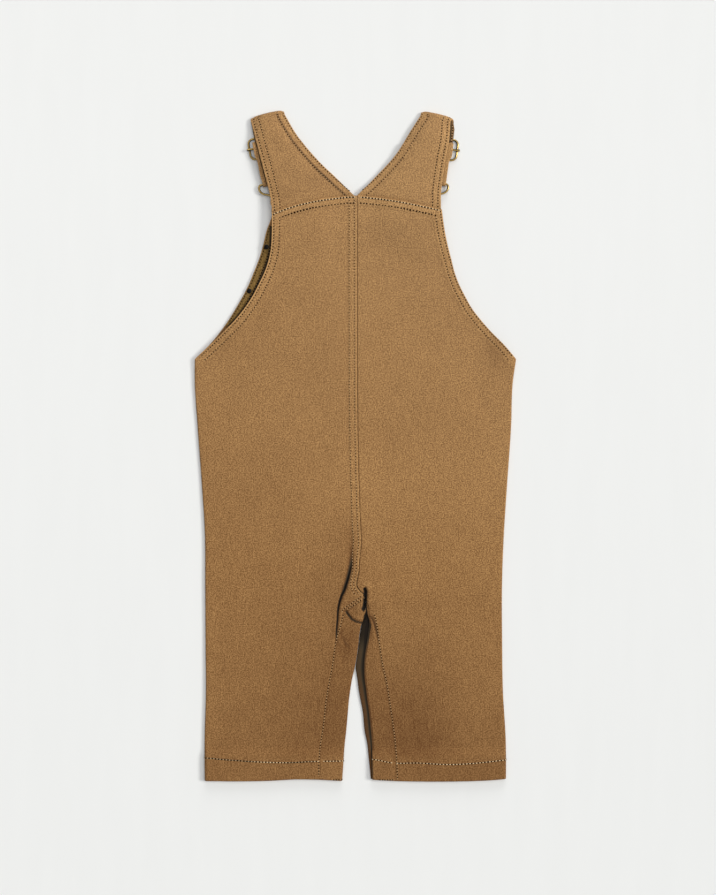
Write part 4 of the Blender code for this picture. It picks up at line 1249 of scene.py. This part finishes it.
def facing_grid():
    """A strip inside the edge of the front's left armhole, one wall above the front."""
    y = FACING_ROWS[:, None]
    inset = FACING_COLUMNS[None] + 0 * y
    x = side(FRONT_ARMHOLES, -1, y) + inset
    shown = side(BACK_ARMHOLES, -1, y) - side(FRONT_ARMHOLES, -1, y)
    z = under_height(x, y) + 2 * CLOTH + GAP + 0.14 * softness(x, y, 9, 16, 31)
    z = z + rounded(inset - 0.7, 0.4) + channel(inset, ROW_1, 0.2) + channel(inset, ROW_2, 0.2)
    z = z + puckered(inset, y, 6.0, 0.10)
    points = np.stack([x, np.broadcast_to(y, x.shape), z], -1)
    rows = np.minimum(np.abs(inset - ROW_1), np.abs(inset - ROW_2))
    # painted shade in the stitch channels, and a painted shadow, near black, where the back's edge
    # overhangs the strip
    return {"points": points, "flip": True, "weave": points[..., :2], "inset": inset,
            "wear_and_highlight": 0.9 * bell(inset - 0.8, 0.7) * (1 - ease((inset - 3) / 9)),
            "painted_shade": 0.3 * bell(rows, 0.8) + 2.4 * ease((inset - shown + 3.2) / 2.8)}


facing = facing_grid()
cloth("left_armhole_facing", "armhole_facing", [facing], TWILL_INSIDE_IN_SHADE)

# %% Hems
HEM_PROFILE = [  # depth inward from the leg's face, height above the leg's foot
    (0.10, -0.06), (0.22, -0.34), (0.62, -0.52), (1.20, -0.58), (1.80, -0.46), (2.18, -0.12),
    (2.30, 0.60), (2.32, 8.0), (2.30, 15.4), (2.10, 15.9), (1.75, 16.0), (1.45, 15.8),
    (1.34, 15.2), (1.34, 8.0), (1.32, 0.5), (1.20, 0.02), (0.9, -0.04), (0.4, -0.05),
]


def hem_ring(out):
    """The profile carried round the flattened foot of the leg: two runs and two half turns."""
    fold, outer = side(INNER_LEG_FOLDS, out, FOOT), side(SIDE_FOLDS, out, FOOT)
    fold -= 0.4 * (out > 0)      # the right leg's folded edge reaches a little further
    half = float(top_height(outer, FOOT)) / 2
    low, high = min(fold, outer) + half, max(fold, outer) - half
    run = np.linspace(high, low, 60)
    turn = np.radians(np.linspace(90, 270, 13))[1:-1]
    middle = np.concatenate([run, low + 0 * turn, run[::-1], high + 0 * turn])[:, None]
    aside = np.concatenate([0 * run, np.cos(turn), 0 * run, -np.cos(turn)])[:, None]
    above = np.concatenate([1 + 0 * run, np.sin(turn), -1 + 0 * run, -np.sin(turn)])[:, None]
    depth, height = np.array(HEM_PROFILE).T
    x, z = middle + aside * (half - depth), half + above * (half - depth)
    y = FOOT + height[None] + hem_wave(x, np.full(x.shape, FOOT), out)
    return np.stack([x, y, z], -1)


for out, name in SIDES:
    ring = hem_ring(out)
    faces = quads_of(*ring.shape[:2], True, True, flip=True)
    piece(name + "_leg_hem", "hem_" + name, ring.reshape(-1, 3), faces, [TWILL],
          ring[..., :2].reshape(-1, 2))
print("hem ring points:", ring.shape[:2])

# %% [markdown]
# ## Topstitching
# A row of lockstitch is a line of short arched threads, each going down through a needle hole
# into the cloth. Rows are found on the grids themselves: where a field, such as the distance
# from the armhole, passes the row's value. Each piece's stitches are one joined mesh, because
# thousands of separate objects would be slow, and each stitch has only thirty triangles.


# %% Rows of stitches
def follow(grid, field, at, keep=None, down_columns=False, inside=False):
    """The line on a grid where a field passes a value: one point for each row.

    down_columns looks along the columns instead, and inside gives the cloth's other face.
    """
    points, values = grid["points"], field - at
    normal = normals_of(points, grid["flip"])
    if inside:
        points, normal = points - normal * CLOTH, -normal
    if down_columns:
        points, values, normal = (np.swapaxes(a, 0, 1) for a in (points, values, normal))
        keep = None if keep is None else keep.T
    crossing = values[:, :-1] * values[:, 1:] <= 0
    if keep is not None:
        crossing &= keep[:, :-1]
    rows = np.flatnonzero(crossing.any(1))
    first = crossing[rows].argmax(1)
    low, high = values[rows, first], values[rows, first + 1]
    t = (low / np.where(low == high, 1, low - high))[:, None]
    pick = lambda a: a[rows, first] * (1 - t) + a[rows, first + 1] * t
    return pick(points), pick(normal)


def stitch_template():
    """One stitch, 1 long: three rings of five points and two tips, arched in the middle."""
    ring = np.arange(5) * 2 * math.pi / 5 + 0.3
    places = np.array([-0.34, 0.0, 0.34])
    over = np.cos(ring)[None] * np.array([0.85, 1.0, 0.85])[:, None]
    up = np.sin(ring)[None] * np.array([0.85, 1.0, 0.85])[:, None]
    body = np.stack([np.repeat(places, 5), over.ravel(), up.ravel()], -1)
    points = np.vstack([[(-0.5, 0, -0.6)], body, [(0.5, 0, -0.6)]])
    first, last = 1 + np.arange(5), 1 + (np.arange(5) + 1) % 5
    faces = [(0, b, a) for a, b in zip(first, last)]
    for k in (0, 5):
        faces += [(a + k, b + k, b + k + 5) for a, b in zip(first, last)]
        faces += [(a + k, b + k + 5, a + k + 5) for a, b in zip(first, last)]
    faces += [(16, a + 10, b + 10) for a, b in zip(first, last)]
    return points, np.array(faces)


def hole_template():
    """A needle hole: a small hexagon that lies on the cloth, near black with painted shade."""
    ring = np.arange(6) * math.pi / 3
    points = np.column_stack([np.cos(ring), np.sin(ring), np.zeros(6)])
    faces = [(0, 1 + k, 1 + (k + 1) % 6) for k in range(6)]
    return np.vstack([[(0, 0, 0)], points]), np.array(faces)


def placed(template, size, middle, along, over, up):
    """Copies of a template's points at each place, in that place's own directions."""
    points = template * size
    return (middle[:, None] + points[:, 0, None] * along[:, None]
            + points[:, 1, None] * over[:, None] + points[:, 2, None] * up[:, None])


def sewn(name, rows, finish, seed, pitch=2.5, length=1.45, thick=0.29, hole=0.62, sunk=None):
    """The stitches and needle holes of several rows, joined into one piece. Sizes are in mm.

    Along each row, a stitch stands at every pitch, a hair to either side of it, and turned a
    little askew. The last argument, a table of x, gives how much painted shade darkens the thread
    there, 0 to 1.
    """
    chance = np.random.default_rng(seed)
    threads, holes = [], []
    for points, normal in rows:
        step = np.linalg.norm(np.diff(points, axis=0), axis=1)
        on = step < LONGEST_STEP
        points, normal, step = points[:-1][on], normal[:-1][on], step[on]
        place = np.concatenate([[0], np.cumsum(step)[:-1]])
        count = int(place[-1] / pitch)
        if count < 2:
            continue
        at = (np.arange(count) + 0.5) * pitch + chance.uniform(-0.12, 0.12, count)
        spot = lambda s, values: np.column_stack([np.interp(s, place, v) for v in values.T])
        along = spot(at + length / 2, points) - spot(at - length / 2, points)
        along /= np.linalg.norm(along, axis=1, keepdims=True)
        up = spot(at, normal)
        over = np.cross(up, along)
        over /= np.linalg.norm(over, axis=1, keepdims=True)
        up = np.cross(along, over)
        swing = chance.uniform(-0.09, 0.09, count)[:, None] + 0.05
        turned, aside = along + over * swing, over - along * swing
        size, middle = np.array([length, thick, thick]), spot(at, points) + up * thick * 0.35
        threads.append(placed(STITCH, size, middle, turned, aside, up))
        size, middle = np.array([hole * 1.2, hole, 1]), spot(at - pitch / 2, points) + up * PROUD
        holes.append(placed(NEEDLE_HOLE, size, middle, along, over, up))
    threads, holes = np.vstack(threads), np.vstack(holes)
    thread_faces = STITCH_FACES + np.arange(len(threads))[:, None, None] * len(STITCH)
    hole_faces = HOLE_FACES + np.arange(len(holes))[:, None, None] * len(NEEDLE_HOLE)
    thread_faces, hole_faces = thread_faces.reshape(-1, 3), hole_faces.reshape(-1, 3)
    points = np.vstack([threads.reshape(-1, 3), holes.reshape(-1, 3)])
    points[:, 2] = np.maximum(points[:, 2], 0.0)
    faces = np.vstack([thread_faces, hole_faces + threads.size // 3])
    marks = {"sunk": np.zeros(len(points)) if sunk is None else through(sunk, points[:, 0])}
    made = piece(name, None, points, faces, [finish, HOLE_SHADE], marks=marks)
    is_hole = np.arange(len(faces)) >= len(thread_faces)
    made.data.polygons.foreach_set("material_index", is_hole.astype(int))
    print(f"{name}: {len(threads)} stitches, {len(faces)} triangles")
    return made


STITCH, STITCH_FACES = stitch_template()
NEEDLE_HOLE, HOLE_FACES = hole_template()
LONGEST_STEP = 12.0        # mm, past which two points of a row aren't neighbours
PROUD = 0.11               # mm that a hole's disc of painted shade stands clear of the cloth
stitches = {}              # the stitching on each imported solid's cloth


def stitch(node, name, rows, seed, finish=THREAD, **style):
    """Sew rows of topstitching, and list the piece with the cloth that it is on."""
    made = sewn("topstitching_" + name, rows, finish, seed, **style)
    stitches.setdefault(node, []).append(made)


# %% Topstitching on the backs
HEM_THREAD_SHADE = {    # x, and how much painted shade darkens the hem's thread there, 0 to 1
    -1: [(-131, 0.55), (-108, 0.75), (-92, 0.75), (-82, 0.0), (-66, 0.0), (-58, 0.55),
         (-38, 0.45), (-30, 0.0), (-11, 0.0)],
    1: [(14, 0.0), (30, 0.15), (44, 0.4), (70, 0.2), (84, 0.0), (112, 0.1), (131, 0.0)],
}
for out, name in SIDES:
    grid, node = backs[out], "back_" + name
    x, y = grid["points"][..., 0], grid["points"][..., 1]
    arm_1, arm_2 = ARM_ROWS[out]
    yoke_1, yoke_2 = YOKE_ROWS
    upright = y > TIP - 6
    rows = [follow(grid, grid["arm"], arm_1, upright),
            follow(grid, grid["arm"], arm_2, upright & (grid["yoke"] > yoke_2 - 0.3))]
    if out < 0:
        crossing = (x > -12) & (x < 8) & (y < -128) & (y > -150)
        rows += [follow(grid, grid["cross"], at, crossing) for at in CROSS_ROWS]
    leg = (y < CROTCH - 3) & (y > FOOT + 0.3)
    inseam = np.where(np.abs(x - side(INSEAMS, out, y)) < 12, grid["inseam"], FAR)
    rows.append(follow(grid, inseam, INSEAM_ROW, leg))
    stitch(node, "back_" + name, rows, 3 + out)
    if out < 0:
        sewn_seam = (y > CROSS_TOP + 1) & (grid["yoke"] > 1.0)
        rows = [follow(grid, grid["lapped"], SEAM_ROW_1, sewn_seam),
                follow(grid, grid["narrowed"], SEAM_ROW_2, sewn_seam)]
        stitch(node, "centre_back", rows, 19, thick=0.27, hole=0.48)
    rows = [follow(grid, grid["yoke"], yoke_1, (y > 180) & (grid["arm"] > 0.9), True)]
    stitch(node, "yoke_" + name, rows, 5 + out, PALE_THREAD, pitch=2.75, length=1.6,
           thick=0.44, hole=0.84)
    rows = [follow(grid, grid["yoke"], yoke_2, (y > 180) & (grid["arm"] > arm_2 - 0.3), True)]
    stitch(node, "yoke_lower_" + name, rows, 6 + out, pitch=2.75, thick=0.36, hole=0.98)
    rows = [follow(grid, y - through(HEM_ROWS[out], x), 0.0, y < -255, True)]
    stitch(node, "hem_back_" + name, rows, 7 + out, PALE_THREAD, pitch=2.81 + 0.07 * out,
           length=1.65, thick=0.42, hole=0.74, sunk=HEM_THREAD_SHADE[out])

# %% Topstitching on the fronts, straps and facing
for out, name in SIDES:
    grid, node = fronts[out], "front_" + name
    x, y = grid["points"][..., 0], grid["points"][..., 1]
    rows = [follow(grid, grid["arm"], at, y > TIP + 2) for at in (ROW_1, ROW_2)]
    rows += [follow(grid, grid["top"], at, y > 190, True) for at in (ROW_1, ROW_2)]
    if out < 0:
        rows += [follow(grid, grid["seam"], at, y > CROTCH + 3) for at in FRONT_SEAM_ROWS]
    rows.append(follow(grid, y - through(HEM_ROWS[out], x), 0.0, y < -255, True))
    stitch(node, node, rows, 9 + out)
    grid = flaps[out]
    x, y, z = (grid["points"][..., k] for k in range(3))
    seen = (y < -255) & (z > 2.5)
    rows = [follow(grid, y - through(HEM_ROWS[out], x), 0.0, seen, True)]
    stitch(node, "hem_inner_" + name, rows, 11 + out, PALE_THREAD, pitch=2.75, length=1.6,
           thick=0.38, hole=0.70)
    rows = [follow(grid, grid["weave"][..., 1] - FOOT, 1.2, seen, True)]
    stitch(node, "foot_inner_" + name, rows, 15 + out, pitch=2.2, length=1.2, hole=0.66)

    grid, node = straps[out], "strap_" + name
    row = np.arange(len(grid["points"]))[:, None] + 0 * grid["out"]
    over_fold, under = row < TOP_ROWS + 16, (row > TOP_ROWS + 21) & (row < TOP_ROWS + 62)
    rows = [follow(grid, grid[edge], at, over_fold)
            for edge in ("out", "in") for at in STRAP_ROWS[edge]]
    rows.append(follow(grid, grid["out"], UNDER_ROW, under, inside=True))
    rows += [follow(grid, grid["out"], at, under) for at in (UNDER_ROW, STRAP_WIDTH - UNDER_ROW)]
    stitch(node, node, rows, 13 + out)
rows = [follow(facing, facing["inset"], at) for at in (ROW_1, ROW_2)]
# painted shade darkens the facing's thread
stitch("armhole_facing", "facing", rows, 17, sunk=[(-150, 0.85), (0, 0.85)])

# %% [markdown]
# ## Brace hardware
# The slider is a round-cornered wire frame with a straight bar, and the hook is one bent wire:
# a bar for the strap, an eye that passes over the button, and a narrow slot that holds it.
# Each is a tube carried along its line. The button is turned: a profile taken round an axis.


# %% Wire and turned pieces
def smoothed(points, times=2):
    """A closed line with its corners cut: each side gives its points at 1/4 and 3/4."""
    for _ in range(times):
        after = np.roll(points, -1, axis=0)
        points = np.stack([0.75 * points + 0.25 * after, 0.25 * points + 0.75 * after], 1)
        points = points.reshape(-1, 3)
    return points


def tube(name, node, line, closed, swell=None, sides=14, outside=1.0):
    """A round wire along a line that lies nearly level, with a radius at each point.

    Light is painted on its top, its underside and one side, and shade on the other: outside is 1
    for the right of the line, -1 for left.
    """
    if closed:
        step = np.roll(line, -1, axis=0) - np.roll(line, 1, axis=0)
    else:
        step = np.gradient(line, axis=0)
    along = step / np.linalg.norm(step, axis=1, keepdims=True)
    over = np.cross((0.0, 0.0, 1.0), along)
    over /= np.linalg.norm(over, axis=1, keepdims=True)
    up = np.cross(along, over)
    angle = np.linspace(0, 2 * math.pi, sides, endpoint=False)
    radius = WIRE / 2 * (np.ones(len(line)) if swell is None else swell)
    round_over, round_up = np.cos(angle)[None, :, None], np.sin(angle)[None, :, None]
    ring = round_over * over[:, None] + round_up * up[:, None]
    points = line[:, None] + radius[:, None, None] * ring
    faces = quads_of(len(line), sides, closed, True)
    # painted light and shade: pale where the ring faces up, down or outwards, near black on the
    # side facing in
    rub_and_light = 0.22 + 0.52 * np.abs(np.sin(angle)) - 0.42 * outside * np.cos(angle) + 0 * line[:, :1]
    marks = {"rub_and_light": rub_and_light.ravel()}
    return piece(name, node, points.reshape(-1, 3), faces, [BRASS], marks=marks)


def turned(name, node, middle, profile, finish, slot, sides=36):
    """A turned piece: the profile of radius and height taken round an upright axis."""
    radius, height = np.array(profile).T
    angle = np.linspace(0, 2 * math.pi, sides, endpoint=False)
    points = np.stack([middle[0] + np.outer(radius, np.cos(angle)),
                       middle[1] + np.outer(radius, np.sin(angle)),
                       middle[2] + np.outer(height, np.ones(sides))], -1)
    faces = quads_of(len(profile), sides, False, True)
    marks = {"rub_and_light": np.repeat(0.60 + 0.2 * ease(radius / radius.max()), sides)}
    return piece(name, node, points.reshape(-1, 3), faces, [finish], marks=marks)


# %% Sliders, hooks and buttons
SLIDER_HEIGHT, SLIDER_SPAN, SLIDER_CORNER = 19.5, 37.9, 4.2
SLIDER_BAR_HEIGHT = WIRE * 1.5 + 0.4   # of its middle: it lies on top of the frame
BAR_OVERHANG = 2.3                     # how far it reaches past the middle of the frame's wire
BAR_ENDS = [(1, 0), (0.998, 0.55), (0.99, 0.95), (0.975, 1.12)]   # along it, and its thickness
HOOK_HALF = [  # right half of the hook's wire: across and up from the middle of its bar
    (0, 0), (8, 0), (16.2, 0), (17.7, -1.2), (18.2, -3.6), (17.3, -6.4), (14.6, -8.6),
    (10.6, -9.8), (8.8, -11.6), (8.2, -14.5), (6.8, -18.0), (4.6, -21.0), (3.9, -24.0),
    (3.3, -26.6), (1.7, -28.3),
]
BUTTON_PROFILE = [  # radius and height: the disc, and the neck that the hook holds
    (0, 0.28), (3.2, 0.26), (5.4, 0.16), (6.4, 0.02), (7.4, 0.0), (8.1, 0.18), (8.5, 0.6),
    (8.45, 1.2), (8.1, 1.65), (7.6, 1.8), (2.6, 1.8), (2.25, 1.95), (2.2, 3.6), (2.35, 3.95),
    (0, 4.0),
]
BUTTON_DISC = 1.8                      # height of the top of the disc
HOOK_AT_BUTTON = BUTTON_DISC + GAP + WIRE / 2


def lifted(strap, up, over, z):
    """Points of the hardware: so far up and across from the strap's bar, at a height."""
    plan = strap_point(strap, up, over)
    return np.column_stack([plan, np.broadcast_to(z, len(plan))])


for strap in STRAPS:
    shift, rise = strap["slider_shift"], strap["slider_up"]
    half_up, half_over, corner = (SLIDER_HEIGHT - WIRE) / 2, SLIDER_SPAN / 2, SLIDER_CORNER
    quarter = np.radians(np.linspace(0, 90, 9))
    arcs = [(a * (half_over - corner), b * (half_up - corner), k)
            for k, (a, b) in enumerate([(1, 1), (-1, 1), (-1, -1), (1, -1)])]
    over = np.concatenate([x + corner * np.cos(quarter + k * math.pi / 2) for x, _, k in arcs])
    up = np.concatenate([y + corner * np.sin(quarter + k * math.pi / 2) for _, y, k in arcs])
    frame_line = lifted(strap, rise + up, over + shift, WIRE / 2)
    tube(strap["side"] + "_slider_frame", "slider_" + strap["side"], frame_line, True,
         outside=strap["out"])

    reach = half_over + BAR_OVERHANG
    ends, thicker = np.array(BAR_ENDS).T
    along = np.concatenate([-ends, np.linspace(-0.955, 0.955, 24), ends[::-1]])
    swell = np.concatenate([thicker, [1.08], np.ones(22), [1.08], thicker[::-1]])
    bar_line = lifted(strap, rise, along * reach + shift, SLIDER_BAR_HEIGHT)
    tube(strap["side"] + "_slider_bar", "slider_bar_" + strap["side"], bar_line, False, swell)

    half = HOOK_HALF[1:]
    loop = np.array([HOOK_HALF[0], *half, *[(-a, b) for a, b in half[::-1]]], float)
    sink = np.clip(-loop[:, 1] / 14, 0, 1)
    z = BAR_HEIGHT + (HOOK_AT_BUTTON - BAR_HEIGHT) * sink
    hook_line = lifted(strap, loop[:, 1], loop[:, 0] + strap["hook_shift"], z)
    tube(strap["side"] + "_brace_hook", "hook_" + strap["side"], smoothed(hook_line), True,
         outside=-strap["out"])

    middle = strap_point(strap, -BUTTON_DOWN - 0.6, strap["hook_shift"])
    turned(strap["side"] + "_brace_button", "button_" + strap["side"], (*middle, 0.0),
           BUTTON_PROFILE, BRASS, "brass")
print("hardware on each strap:", ["slider", "slider bar", "hook", "button"])

# %% Studs on the facing
STUD_PROFILE = [  # radius and height
    (0, -0.25), (2.1, -0.2), (2.15, 0.05), (2.1, 0.3), (1.75, 0.5), (1.45, 0.52), (1.2, 0.6),
    (0.7, 0.72), (0, 0.76),
]
for name, y, inset in (("upper", 173.2, 3.5), ("lower", 135.0, 3.4)):
    x = float(side(FRONT_ARMHOLES, -1, y)) + inset
    seat = float(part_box("facing_stud_" + name)[0].z) / MM
    turned(name + "_facing_stud", "facing_stud_" + name, (x, y, seat), STUD_PROFILE, STUD,
           "dark_stud", 24)

# %% [markdown]
# ## What each piece was cut to
# Each piece was cut with turnings, estimated at 5 to 7 mm wide on average round the sewn edges
# of the backs and fronts, about 4 mm round the straps and 1 mm round the facing. The hems are
# the turn-up alone, without turnings.

# %% [markdown]
# ## Table and light
# The garment lies on a plain pale table under soft studio light. The key lamp is up to the
# right, so its shadows fall to the left. A wide softbox overhead and another one behind the
# shoulders fill them, and a faint even light comes from all round. A sun lamp with a wide
# angle stands for each softbox, because it lights a large flat thing evenly.

# %% Table
floor_mesh = bpy.data.meshes.new("table")
TABLE_HALF, TABLE_TOP = 12.0, -0.0003    # metres
corners = [(a * TABLE_HALF, b * TABLE_HALF, TABLE_TOP)
           for a, b in ((-1, -1), (1, -1), (1, 1), (-1, 1))]
floor_mesh.from_pydata(corners, [], [(0, 1, 2, 3)])
table = bpy.data.objects.new("table", floor_mesh)
bpy.context.scene.collection.objects.link(table)
material, shader, start = new_finish("pale_table")
place = start.node("TexCoord", {}, {}, 3)
mottle = place.stretched((60.0, 9.0, 1.0)).noise(1.0, 3.0).between(0.3, 0.7)
# painted shade: the table darker towards the bottom of the view, for light that falls off there
level = place.part(1).between(-0.30, 0.25) * 0.6 + mottle * 0.2
connect(shader, "Base Color", level.mixed((0.835, 0.842, 0.832), (0.882, 0.888, 0.878)))
shader.inputs["Roughness"].default_value = 0.9
floor_mesh.materials.append(material)

# %% Light
world = bpy.data.worlds.new("studio")
bpy.context.scene.world = world
world.use_nodes = True
world.node_tree.nodes["Background"].inputs["Color"].default_value = (0.97, 0.985, 1.0, 1.0)
world.node_tree.nodes["Background"].inputs["Strength"].default_value = 0.27
bpy.context.scene.view_settings.view_transform = "Standard"


def softbox(name, place, angle, strength, colour):
    """Light from one direction as wide as a softbox: the same everywhere on the table."""
    light = bpy.data.lights.new(name, "SUN")
    light.angle, light.energy, light.color = math.radians(angle), strength, colour
    made = bpy.data.objects.new(name, light)
    made.location = place
    aim = np.array(place) / np.linalg.norm(place)
    made.rotation_euler = (math.acos(aim[2]), 0.0, math.atan2(aim[1], aim[0]) + math.pi / 2)
    bpy.context.scene.collection.objects.link(made)


softbox("key", (1.75, 0.20, 1.42), 18.0, 1.68, (1.0, 0.985, 0.95))
softbox("overhead", (0.15, 0.15, 1.0), 50.0, 1.05, (1.0, 1.0, 1.0))
softbox("back", (0.10, 1.00, 0.40), 30.0, 0.80, (1.0, 1.0, 1.0))
